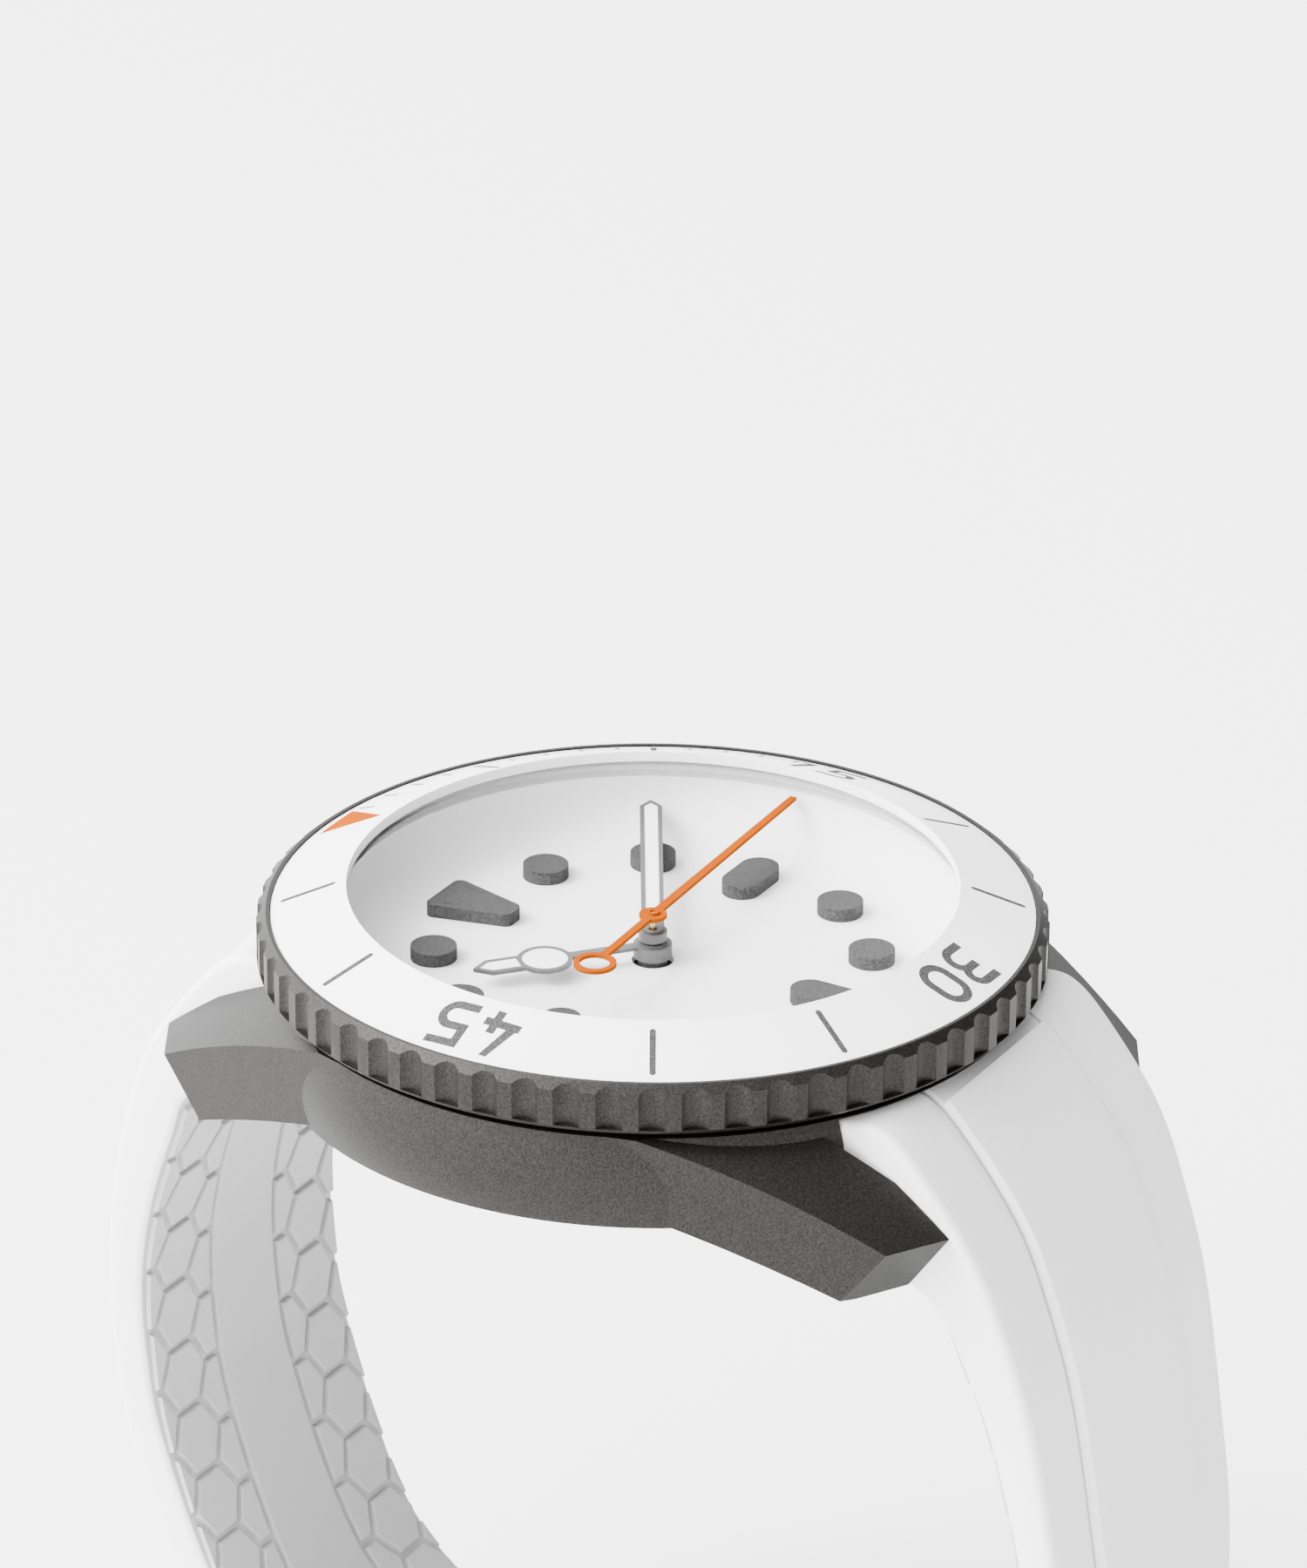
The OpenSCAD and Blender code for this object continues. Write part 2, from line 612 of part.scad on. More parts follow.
// Flat wire spring in the case groove, with its end standing up into the ratchet
module bezel_click_spring() color([0.7, 0.7, 0.7]) {
    z0 = bezel_bottom + 0.1;
    z1 = bezel_bottom + 0.35;
    difference() {
        ring(neck_r - 0.33, neck_r - 0.06, z0, z1);
        translate([0, -far / 2, z0 - 1]) cube([far, far, 3]);
        translate([-far, -far, z0 - 1]) cube([far * 2, far - 6, 3]);
    }
    rotate([0, 0, 95]) translate([neck_r - 0.2, -0.1, z0]) cube([0.95, 0.2, z1 - z0]);
}

// ---- Dial and hands ----
module dial() color([0.95, 0.95, 0.95]) {
    run = dial_r - dial_rim_t - dial_flat_r;
    rise = dial_rim_z - dial_top;
    steps = 14;
    inner = [for (i = [0 : steps]) let (a = 90 * i / steps)
        [dial_flat_r + run * sin(a), dial_top + rise * (1 - cos(a))]];
    turned(concat([[dial_hole_r, dial_top - dial_t], [dial_hole_r, dial_top]], inner,
        [[dial_r, dial_rim_z], [dial_r, dial_top + 1.2], [dial_flat_r + 1.4, dial_top - dial_t]]));
}
module marker_up(r, m) {
    at_minute(m, r) translate([0, 0, dial_top]) linear_extrude(dot_h) children();
}
module hour_markers() color([0.5, 0.5, 0.5]) {
    for (h = [1, 2, 4, 5, 7, 8, 10, 11]) marker_up(dot_ring_r, 5 * h) circle(d = dot_d, $fn = mid_fn);
    for (h = [3, 6, 9]) marker_up(pill_ring_r, 5 * h) stadium(0.86 * dot_d, 1.65 * dot_d, mid_fn);
    marker_up(pill_ring_r + 0.3, 0) rounded_wedge(0.62 * dot_d, 1.4 * dot_d, 4.8, 0.45);
}
// Trapezium with round corners, w0 wide at the bottom and w1 at the top
module rounded_wedge(w0, w1, l, r) {
    corners = [[w0 / 2 - r, -l / 2 + r], [w1 / 2 - r, l / 2 - r]];
    for (s = [-1, 1]) for (c = corners) translate([s * c[0], c[1]]) circle(r = r, $fn = small_fn);
    polygon([[-corners[0][0], -l / 2], [corners[0][0], -l / 2], [corners[1][0], l / 2],
        [-corners[1][0], l / 2]]);
    lean = atan2(corners[1][0] - corners[0][0], l - 2 * r);
    for (s = [-1, 1]) polygon([[s * corners[0][0], corners[0][1]], [s * corners[1][0], corners[1][1]],
        [s * (corners[1][0] + r * cos(lean)), corners[1][1] - r * sin(lean)],
        [s * (corners[0][0] + r * cos(lean)), corners[0][1] - r * sin(lean)]]);
}
module hand(z, a, t = hand_t) {
    rotate([0, 0, -a]) translate([0, 0, z]) linear_extrude(t) children();
}
module baton(w, y0, y1) {
    polygon([[-w / 2, y0], [-w / 2, y1 - 0.6 * w], [0, y1], [w / 2, y1 - 0.6 * w], [w / 2, y0]]);
}
hand_line = 0.25;
hour_w = 1.5;
hour_ring_y = 6.17;
hour_ring_r = 1.5;
minute_w = 1.25;
module hour_outline() {
    difference() {
        baton(hour_w, hour_ring_y, hour_l);
        circle(r = 1, $fn = mid_fn);
    }
    translate([0, hour_ring_y]) circle(r = hour_ring_r, $fn = mid_fn);
}
module hour_window() {
    baton(hour_w - 2 * hand_line, hour_ring_y + hour_ring_r, hour_l - hand_line * 1.4);
    translate([0, hour_ring_y]) circle(r = hour_ring_r - hand_line, $fn = mid_fn);
}
module minute_window() {
    baton(minute_w - 2 * hand_line, 1.2, minute_l - hand_line * 1.4);
}
module collar(r, bore, z0, z1) {
    difference() {
        rod(r, z0, z1, mid_fn);
        rod(bore, z0 - 1, z1 + 1, mid_fn);
    }
}
module hour_hand() color([0.6, 0.6, 0.6]) {
    hand(hour_z, hour_a) difference() {
        union() {
            hour_outline();
            translate([-0.3, 0.9]) square([0.6, hour_ring_y - 0.9]);
        }
        circle(r = 1, $fn = mid_fn);
        hour_window();
    }
    collar(1.05, hour_tube_r + seat_gap, hour_z - 0.55, hour_z + hand_t);
}
module hour_hand_lume() color([0.94, 0.94, 0.93])
    hand(hour_z + 0.03, hour_a, hand_t - 0.06) hour_window();
module minute_hand() color([0.62, 0.62, 0.62]) {
    hand(minute_z, minute_a) difference() {
        baton(minute_w, 0, minute_l);
        circle(r = cannon_hub_r - 0.05, $fn = mid_fn);
        minute_window();
    }
    collar(cannon_hub_r, cannon_r + seat_gap, minute_z - 0.3, minute_z + hand_t);
}
module minute_hand_lume() color([0.94, 0.94, 0.93])
    hand(minute_z + 0.03, minute_a, hand_t - 0.06) minute_window();
module seconds_hand() color([0.95, 0.45, 0.15]) {
    counter_y = -6.7;
    counter_r = 1.17;
    hand(seconds_z, seconds_a, 0.2) difference() {
        union() {
            polygon([[-0.26, 0], [-0.2, seconds_l], [0.2, seconds_l], [0.26, 0]]);
            translate([-0.22, counter_y + counter_r - 0.2]) square([0.44, -counter_y - counter_r + 0.2]);
            translate([0, counter_y]) circle(r = counter_r, $fn = mid_fn);
            circle(r = 0.76, $fn = mid_fn);
        }
        translate([0, counter_y]) circle(r = counter_r - 0.33, $fn = mid_fn);
        circle(r = seconds_arbor_r + seat_gap, $fn = small_fn);
    }
    collar(0.34, seconds_arbor_r + seat_gap, seconds_z - 0.25, seconds_z + 0.32);
}

// ---- Crown and winding ----
tube_r = 1.08;
crown_x = case_r + 0.22;
module from_case_x(x0, r, l, fn = small_fn) {
    translate([x0, 0, stem_z]) rotate([0, 90, 0]) cylinder(r = r, h = l, $fn = fn);
}
module crown() color([0.42, 0.41, 0.4]) {
    socket = 2.4;
    difference() {
        translate([crown_x, 0, stem_z]) rotate([0, 90, 0]) rotate_extrude($fn = mid_fn) polygon([
            [0, 0], [crown_d / 2 - 0.35, 0], [crown_d / 2, 0.35], [crown_d / 2, crown_l - 0.5],
            [crown_d / 2 - 0.5, crown_l], [0, crown_l]]);
        for (i = [0 : 23]) translate([crown_x - 1, 0, stem_z]) rotate([15 * i, 0, 0])
            translate([0, crown_d / 2 + 0.12, 0]) rotate([0, 90, 0]) cylinder(r = 0.27,
                h = crown_l + 0.6, $fn = 16);
        difference() {
            from_case_x(crown_x - 1, tube_r + 0.5, socket + 1);
            from_case_x(crown_x - 2, 0.62, socket + 3);
        }
        from_case_x(crown_x - 2, 0.36 + seat_gap, socket + 1.8);
    }
}
module crown_tube() color([0.6, 0.6, 0.6]) difference() {
    from_case_x(room_r - 0.6, tube_r, crown_x + 1.2 - room_r);
    from_case_x(room_r - 2, 0.75, 12);
}
module crown_gasket() color([0.1, 0.1, 0.1]) difference() {
    from_case_x(crown_x + 0.35, tube_r + 0.45, 0.55);
    from_case_x(crown_x - 1, tube_r + 0.03, 4);
}
stem_in_x = 5.9;
module winding_stem() color([0.65, 0.65, 0.67]) {
    from_case_x(8.9, 0.36, crown_x + 2.2 - 8.9);
    translate([stem_in_x + 0.6, -0.25, stem_z - 0.25]) cube([8.9 - stem_in_x - 0.6, 0.5, 0.5]);
    from_case_x(stem_in_x, 0.25, 0.6);
}
pinion_x = crown_wheel_p[0] + crown_wheel_r - 0.35;
module x_gear(n, m, x0, l) {
    translate([x0, 0, stem_z]) rotate([90, 0, 90]) linear_extrude(l) polygon(gear_points(n, m, 90));
}
module winding_pinion() color([0.75, 0.72, 0.6]) difference() {
    x_gear(14, (stem_z - ratchet_top - 0.04) / 7.9, pinion_x - 0.4, 0.8);
    from_case_x(pinion_x - 1, 0.4, 3);
}
module sliding_pinion() color([0.75, 0.72, 0.6]) difference() {
    union() {
        from_case_x(pinion_x - 1.3, 0.62, 0.85);
        x_gear(10, 0.13, pinion_x - 1.3, 0.3);
    }
    translate([pinion_x - 2, -0.29, stem_z - 0.29]) cube([3, 0.58, 0.58]);
}
module crown_wheel() color([0.8, 0.78, 0.7]) at(crown_wheel_p) difference() {
    gear(crown_wheel_teeth, ratchet_m, 0, ratchet_top - ratchet_t, ratchet_top);
    rod(0.75, ratchet_top - 1, ratchet_top + 1);
}
module ratchet_wheel() color([0.8, 0.78, 0.7]) at(barrel_p) difference() {
    gear(ratchet_teeth, ratchet_m, ratchet_phase, ratchet_top - ratchet_t, ratchet_top);
    rod(0.56, ratchet_top - 1, ratchet_top + 1);
}

// ---- Movement frame ----
module movement_holder() color([0.9, 0.9, 0.88]) difference() {
    turned([[plate_r + 0.03, plate_top], [dial_flat_r + 1.35, plate_top], [holder_r, dial_top + 1.1],
        [holder_r, flank_bottom + back_thread_h + 0.05], [15.6, flank_bottom + back_thread_h + 0.05],
        [15.6, rotor_bottom], [plate_r + 0.4, rotor_bottom], [plate_r + 0.4, plate_bottom],
        [plate_r + 0.03, plate_bottom]]);
    from_case_x(10, tube_r + 0.1, 12);
}
pillar_a = [20, 110, 158, 235, 330, 274];
pillar_r = 12;
module plate_pillar(a) {
    p = polar(pillar_r, a);
    translate([p[0], p[1], bridge_top + 0.01]) cylinder(r = 0.75, h = train_top - bridge_top, $fn = small_fn);
}
module main_plate() color([0.72, 0.7, 0.62]) {
    difference() {
        union() {
            rod(plate_r, plate_bottom, plate_top, big_fn);
            for (a = pillar_a) plate_pillar(a);
        }
        // Room for the motion work under the dial
        rod(3.6, motion_floor, plate_top + 1, mid_fn);
        at(minute_wheel_p) rod(3.2, motion_floor, plate_top + 1, mid_fn);
        rod(centre_tube_r + run_gap, plate_bottom - 1, plate_top + 1);
        // Pivot seats
        for (p = [barrel_p, third_p, escape_p, pallet_p, balance_p])
            at(p) rod(jewel_r, plate_bottom - 0.01, plate_bottom + 0.3);
        // Room for the winding pinion
        translate([pinion_x - 0.6, -1.7, plate_bottom - 0.1]) cube([1.2, 3.4, 1.1]);
        for (a = pillar_a) at(polar(pillar_r, a)) rod(0.3, bridge_top - 1, plate_bottom - 0.2, small_fn);
    }
    // Post of the minute wheel
    at(minute_wheel_p) rod(0.25, motion_floor - 0.3, motion_floor + 0.8);
}
module bridge_plate(points, width, z0, z1) {
    for (i = [0 : len(points) - 2]) link(points[i], points[i + 1], width, z0, z1);
}
module pierce(list, r, z0, z1) {
    for (p = list) at(p) rod(r, z0, z1);
}
pillars = [for (a = pillar_a) polar(pillar_r, a)];
module barrel_bridge() color([0.75, 0.74, 0.7]) difference() {
    union() {
        bridge_plate([pillars[0], crown_wheel_p + [0, 1.6], barrel_p, pillars[1]], 2.6,
            ratchet_top + 0.04, bridge_top);
        at(crown_wheel_p) {
            rod(1.45, ratchet_top + 0.04, bridge_top, mid_fn);
            rod(0.7, ratchet_top - ratchet_t - 0.1, bridge_top);
        }
        at(barrel_p) rod(3, ratchet_top + 0.04, bridge_top, mid_fn);
    }
    pierce([barrel_p], 0.5 + run_gap, ratchet_top - 1, bridge_top + 1);
    pierce([pillars[0], pillars[1]], 0.34, ratchet_top - 1, bridge_top + 1);
}
module train_bridge() color([0.75, 0.74, 0.7]) difference() {
    union() {
        bridge_plate([pillars[2], origin_p, third_p, pillars[3]], 2.4, bridge_bottom, bridge_top);
        bridge_plate([escape_p / 8, escape_p, pillars[4]], 1.3, bridge_bottom, bridge_top);
    }
    pierce([origin_p, third_p, escape_p], jewel_r, bridge_top - 0.3, bridge_top + 1);
    pierce([pillars[2], pillars[3], pillars[4]], 0.34, bridge_bottom - 1, bridge_top + 1);
}
module pallet_bridge() color([0.75, 0.74, 0.7]) {
    side = [escape_to_balance[1], -escape_to_balance[0]];
    ends = [pallet_p + 1.5 * side, pallet_p - 1.5 * side];
    z0 = balance_top + 0.08;
    difference() {
        union() {
            link(ends[0], ends[1], 0.9, z0, z0 + 0.14);
            for (p = ends) at(p) rod(0.4, z0, train_top - 0.01);
        }
        pierce([pallet_p], pivot_r + run_gap, z0 - 1, z0 + 1);
    }
}
module balance_cock() color([0.75, 0.74, 0.7]) difference() {
    bridge_plate([pillars[5], balance_p + [-1.6, -0.8], balance_p], 2.4, bridge_bottom, bridge_top);
    pierce([balance_p], jewel_r, bridge_top - 0.3, bridge_top + 1);
    pierce([pillars[5]], 0.34, bridge_bottom - 1, bridge_top + 1);
}
module jewel(z0, z1) {
    difference() {
        rod(jewel_r - 0.005, z0, z1);
        rod(pivot_r + run_gap, z0 - 1, z1 + 1);
    }
}
module jewels() color([0.8, 0.1, 0.25]) {
    for (p = [third_p, escape_p, pallet_p, balance_p]) at(p) jewel(plate_bottom + 0.02, plate_bottom + 0.28);
    for (p = [origin_p, third_p, escape_p, balance_p]) at(p) jewel(bridge_top - 0.28, bridge_top - 0.02);
}
module bridge_screws() color([0.35, 0.4, 0.6]) for (i = [0 : 5]) at(pillars[i]) {
    seat = i < 2 ? ratchet_top + 0.04 : bridge_bottom;
    difference() {
        union() {
            rod(0.62, seat - 0.2, seat - 0.005);
            rod(0.28, seat - 0.2, bridge_top + 1.2);
        }
        rotate([0, 0, 40 * i]) translate([-1, -0.08, seat - 0.3]) cube([2, 0.16, 0.2]);
    }
}

// ---- Barrel and train ----
module barrel_drum() color([0.85, 0.75, 0.45]) at(barrel_p) difference() {
    union() {
        gear(barrel_teeth, barrel_m, 0, drum_top - 0.4, drum_top);
        rod(barrel_m * barrel_teeth / 2 - 0.35, drum_bottom, drum_top, mid_fn);
    }
    rod(barrel_m * barrel_teeth / 2 - 0.6, drum_bottom + 0.15, drum_top - 0.15, mid_fn);
    rod(0.5 + run_gap, drum_bottom - 1, drum_top + 1);
}
// One flat coil of strip, r0 to r1, as a band of ring steps
module spiral(r0, r1, turns, t, z0, z1) {
    steps = 24;
    n = turns * steps;
    inner = [for (i = [0 : n]) polar(r0 + (r1 - r0) * i / n, 360 * i / steps)];
    outer = [for (i = [n : -1 : 0]) polar(r0 + t + (r1 - r0) * i / n, 360 * i / steps)];
    translate([0, 0, z0]) linear_extrude(z1 - z0) polygon(concat(inner, outer));
}
module mainspring() color([0.5, 0.55, 0.7]) at(barrel_p)
    spiral(0.95, barrel_m * barrel_teeth / 2 - 0.85, 9, 0.14, drum_bottom + 0.2, drum_top - 0.2);
module barrel_arbor() color([0.7, 0.7, 0.72]) at(barrel_p) {
    rod(0.5, ratchet_top - ratchet_t - 0.1, drum_top + 0.02);
    rod(0.85, drum_bottom + 0.2, drum_top - 0.2);
    rod(0.3, drum_top, plate_bottom + 0.25);
    rod(0.75, ratchet_top - ratchet_t - 0.2, ratchet_top - ratchet_t - 0.01);
}
module centre_wheel() color([0.85, 0.75, 0.45]) {
    tube_top = minute_z - 0.35;
    difference() {
        union() {
            wheel(centre_teeth, third_m, 0, centre_wheel_top - wheel_t, centre_wheel_top);
            gear(centre_pinion_teeth, barrel_m, centre_pinion_phase, pinion_top - 0.42, pinion_top);
            rod(0.5, centre_wheel_top - wheel_t, pinion_top - 0.4);
            rod(centre_tube_r, pinion_top - 0.1, tube_top);
        }
        rod(seconds_arbor_r + run_gap, centre_wheel_top - 1, tube_top + 1);
    }
}
module third_wheel() color([0.85, 0.75, 0.45]) at(third_p) {
    wheel(third_teeth, fourth_m, 0, third_wheel_top - wheel_t, third_wheel_top);
    gear(third_pinion_teeth, third_m, third_pinion_phase, centre_wheel_top - wheel_t - 0.02,
        centre_wheel_top + 0.1);
    rod(arbor_r, third_wheel_top - wheel_t, train_top - 0.05);
    rod(pivot_r, bridge_top - 0.25, plate_bottom + 0.25);
}
module fourth_wheel() color([0.85, 0.75, 0.45]) {
    wheel(fourth_teeth, escape_m, 0, fourth_wheel_top - wheel_t, fourth_wheel_top);
    gear(fourth_pinion_teeth, fourth_m, fourth_pinion_phase, third_wheel_top - wheel_t - 0.02,
        third_wheel_top + 0.02);
    rod(arbor_r, fourth_wheel_top - wheel_t, third_wheel_top + 0.04);
    rod(pivot_r, bridge_top - 0.25, fourth_wheel_top);
    rod(seconds_arbor_r, third_wheel_top, seconds_z + 0.25);
}
module escape_wheel() color([0.7, 0.7, 0.72]) at(escape_p) {
    translate([0, 0, escape_top - 0.15]) linear_extrude(0.15) difference() {
        polygon([for (i = [0 : escape_teeth - 1]) for (k = [0 : 2])
            polar([0.78, 1, 0.97][k] * escape_r, (i + [0.15, 0.62, 0.78][k]) * 360 / escape_teeth)]);
        for (i = [0 : 4]) rotate(72 * i) translate([0.48 * escape_r, 0]) circle(r = 0.42, $fn = small_fn);
    }
    gear(escape_pinion_teeth, escape_m, escape_pinion_phase, fourth_wheel_top - wheel_t - 0.02,
        fourth_wheel_top + 0.03);
    rod(0.16, fourth_wheel_top, escape_top);
    rod(pivot_r, bridge_top - 0.25, plate_bottom + 0.25);
}
module pallet_fork() color([0.7, 0.7, 0.72]) at(pallet_p) {
    z0 = escape_top - 0.15;
    rotate([0, 0, pallet_a]) translate([0, 0, z0]) linear_extrude(0.15) {
        translate([-0.12, -0.14]) square([1.15, 0.28]);
        for (s = [-1, 1]) {
            translate([1, s * 0.19 - 0.07]) square([0.35, 0.14]);
            polygon([[0.1, 0], [0.1, 0.15 * s], [-0.45, 1.3 * s], [-0.62, 1.22 * s], [-0.15, 0.15 * s],
                [-0.15, 0]]);
        }
        circle(r = 0.3, $fn = small_fn);
        translate([0.9, -0.25]) square([0.15, 0.5]);
    }
    rod(0.1, balance_top + 0.26, train_top - 0.05);
    rod(pivot_r, balance_top + 0.13, plate_bottom + 0.25);
}
module balance_wheel() color([0.85, 0.75, 0.45]) at(balance_p) {
    z0 = balance_top - 0.4;
    ring(balance_r - 0.45, balance_r, z0, balance_top, mid_fn);
    translate([0, 0, z0]) linear_extrude(0.16) {
        square([2 * balance_r - 0.5, 0.5], center = true);
        circle(r = 0.6, $fn = small_fn);
    }
    rod(0.22, hairspring_top - 0.2, escape_top + 0.05);
    rod(0.42, escape_top - 0.13, escape_top + 0.02);
    rod(pivot_r, bridge_top - 0.25, plate_bottom + 0.25);
    rod(0.36, hairspring_top - 0.22, hairspring_top + 0.02);
}
module hairspring() color([0.4, 0.5, 0.75]) at(balance_p) {
    spiral(0.4, 2.2, 9, 0.05, hairspring_top - 0.2, hairspring_top);
    translate([2.1, -0.15, hairspring_top - 0.2]) cube([0.35, 0.3, 0.2]);
}

// ---- Motion work and rotor ----
module cannon_pinion() color([0.7, 0.7, 0.72]) difference() {
    union() {
        gear(cannon_teeth, motion_m, 0, motion_floor + 0.06, motion_floor + 0.5);
        rod(cannon_r, motion_floor + 0.06, minute_z + hand_t + 0.08, mid_fn);
    }
    rod(centre_tube_r + run_gap, motion_floor - 1, minute_z - 0.3, mid_fn);
    rod(seconds_arbor_r + 0.1, motion_floor - 1, minute_z + 2, mid_fn);
}
module minute_wheel() color([0.85, 0.75, 0.45]) at(minute_wheel_p) difference() {
    union() {
        gear(minute_teeth, motion_m, minute_wheel_phase, motion_floor + 0.1, motion_floor + 0.3);
        gear(minute_pinion_teeth, hour_m, 0, motion_floor + 0.3, motion_floor + 0.85);
    }
    rod(0.25 + run_gap, motion_floor - 1, motion_floor + 2);
}
module hour_wheel() color([0.85, 0.75, 0.45]) difference() {
    union() {
        gear(hour_teeth, hour_m, hour_wheel_phase, motion_floor + 0.6, motion_floor + 0.8);
        rod(hour_tube_r, motion_floor + 0.6, hour_z + hand_t + 0.12, mid_fn);
    }
    rod(cannon_r + run_gap, motion_floor - 1, hour_z + 2, mid_fn);
}
module rotor() color([0.6, 0.6, 0.58]) {
    rotate([0, 0, 250]) difference() {
        union() {
            ring(1.65, 12.7, rotor_bottom + 0.1, rotor_top - 0.35);
            ring(10.6, 12.7, rotor_bottom, rotor_top);
        }
        translate([-far / 2, 0, rotor_bottom - 1]) cube([far, far, 4]);
    }
    ring(1.65, 2.4, rotor_bottom + 0.1, rotor_top - 0.35, mid_fn);
    difference() {
        gear(rotor_pinion_teeth, reverser_m, 0, rotor_top - 0.35, rotor_top - 0.05);
        rod(1.45, rotor_top - 1, rotor_top + 1, mid_fn);
    }
}
module rotor_bearing() color([0.8, 0.8, 0.8]) {
    rod(1.6, rotor_bottom + 0.05, rotor_top - 0.36, mid_fn);
    rod(1.4, rotor_top - 0.4, bridge_bottom, mid_fn);
}
module reversing_wheel() color([0.7, 0.6, 0.8]) at(reverser_p) {
    wheel(reverser_teeth, reverser_m, reverser_phase, rotor_top - 0.3, rotor_top - 0.1);
    rod(0.3, rotor_top - 0.3, bridge_bottom - 0.02);
}

// ---- Strap and buckle ----
// Taper of the strap, wide between the lugs and narrow at the buckle
module strap_width_2d() {
    polygon([[-strap_w / 2, head_z], [strap_w / 2, head_z], [strap_w / 2, strap_taper_top],
        [strap_end_w / 2, strap_taper_bottom], [strap_end_w / 2, -5], [-strap_end_w / 2, -5],
        [-strap_end_w / 2, strap_taper_bottom], [-strap_w / 2, strap_taper_top]]);
}
module strap_envelope() {
    translate([0, far, 0]) rotate([90, 0, 0]) linear_extrude(2 * far) strap_width_2d();
}
module strap_end_clear() {
    rod(lug_wall_r + soft_gap, flank_bottom, head_z + 5, big_fn);
    rod(back_flange_r + soft_gap, back_bottom - 1, flank_bottom + soft_gap, big_fn);
    rod(far, bezel_bottom - soft_gap, head_z + 5, big_fn);
}
module bar_bore(y, z, r) {
    translate([-20, y, z]) rotate([0, 90, 0]) cylinder(r = r, h = 40, $fn = small_fn);
}
module strap_short() color([0.94, 0.94, 0.94]) difference() {
    intersection() {
        union() {
            along_x(-strap_w, strap_w) polygon(band(short_outer));
            along_x(-centre_band_w / 2, centre_band_w / 2) polygon(centre_band(short_outer));
            // Nose that holds the buckle's bar
            bar_bore(buckle_bar_y, buckle_bar_z, buckle_nose_r);
        }
        strap_envelope();
    }
    strap_end_clear();
    bar_bore(bar_y, bar_z, bar_r + bar_clear);
    bar_bore(buckle_bar_y, buckle_bar_z, buckle_bar_r + bar_clear);
    // Slot in the nose for the tongue's eye
    translate([-tongue_w / 2 - 0.25, buckle_bar_y - 3, short_bottom - 1]) cube([tongue_w + 0.5, 5.2, 6]);
}
tail_path = smooth([[front_bar_y + 0.5, over_bar_bottom], [front_bar_y + 3, over_bar_bottom],
    [buckle_bar_y - 1, tail_bottom], [buckle_bar_y + 3, tail_bottom], [4, tail_bottom], [9, tail_bottom],
    [12, tail_bottom], [tail_tip_y, tail_bottom + 0.25]], 5);
function mirror_y(p) = [-p[0], p[1]];
tail_tip_w = strap_w + 6;
module strap_long() color([0.94, 0.94, 0.94]) difference() {
    intersection() {
        union() {
            // One closed outline: down the outside, along the tail and back up the inside
            along_x(-strap_w, strap_w) polygon(concat(
                [for (p = long_outer) mirror_y(p)], tail_path,
                [for (i = [len(tail_path) - 1 : -1 : 0]) beside(tail_path, i, i < 5 ? strap_t : tail_t)],
                [for (i = [len(long_outer) - 1 : -1 : root_i]) mirror_y(beside(long_outer, i,
                    -strap_thick(i)))],
                [for (p = root_inner) mirror_y(p)]));
            along_x(-centre_band_w / 2, centre_band_w / 2) polygon([for (p = centre_band(long_outer))
                mirror_y(p)]);
        }
        // Round tip of the tail
        translate([0, tail_tip_y - 60, -1]) linear_extrude(head_z) stadium(tail_tip_w, 120, big_fn);
        strap_envelope();
    }
    strap_end_clear();
    bar_bore(-bar_y, bar_z, bar_r + bar_clear);
    // Round-ended slots for the tongue
    for (i = [-1, 0]) translate([0, slot_y + i * slot_pitch, -1]) linear_extrude(12) stadium(slot_w, slot_l);
}
module keeper(y) {
    inner_w = strap_end_w + 2 * keeper_gap;
    along_y(y - keeper_w / 2, y + keeper_w / 2) difference() {
        translate([-inner_w / 2 - keeper_t, 0]) square([inner_w + 2 * keeper_t, keeper_top]);
        translate([-inner_w / 2, keeper_t]) square([inner_w, keeper_top - 2 * keeper_t]);
    }
}
module along_y(y0, y1) {
    translate([0, y1, 0]) rotate([90, 0, 0]) linear_extrude(y1 - y0) children();
}
module strap_fixed_keeper() color([0.93, 0.93, 0.93]) keeper(fixed_keeper_y);
module strap_free_keeper() color([0.93, 0.93, 0.93]) keeper(free_keeper_y);
module lug_spring_bars() color([0.75, 0.75, 0.76]) for (s = [-1, 1]) translate([0, s * bar_y, bar_z])
    rotate([0, 90, 0]) {
    cylinder(r = bar_r, h = lug_w - 0.3, center = true, $fn = small_fn);
    cylinder(r = bar_tip_r, h = lug_w + 2 * bar_tip_l, center = true, $fn = small_fn);
}
module buckle_spring_bar() color([0.75, 0.75, 0.76]) translate([0, buckle_bar_y, buckle_bar_z])
    rotate([0, 90, 0]) {
    cylinder(r = buckle_bar_r, h = 2 * frame_in - 0.3, center = true, $fn = small_fn);
    cylinder(r = 0.45, h = 2 * frame_in + 1.8, center = true, $fn = small_fn);
}
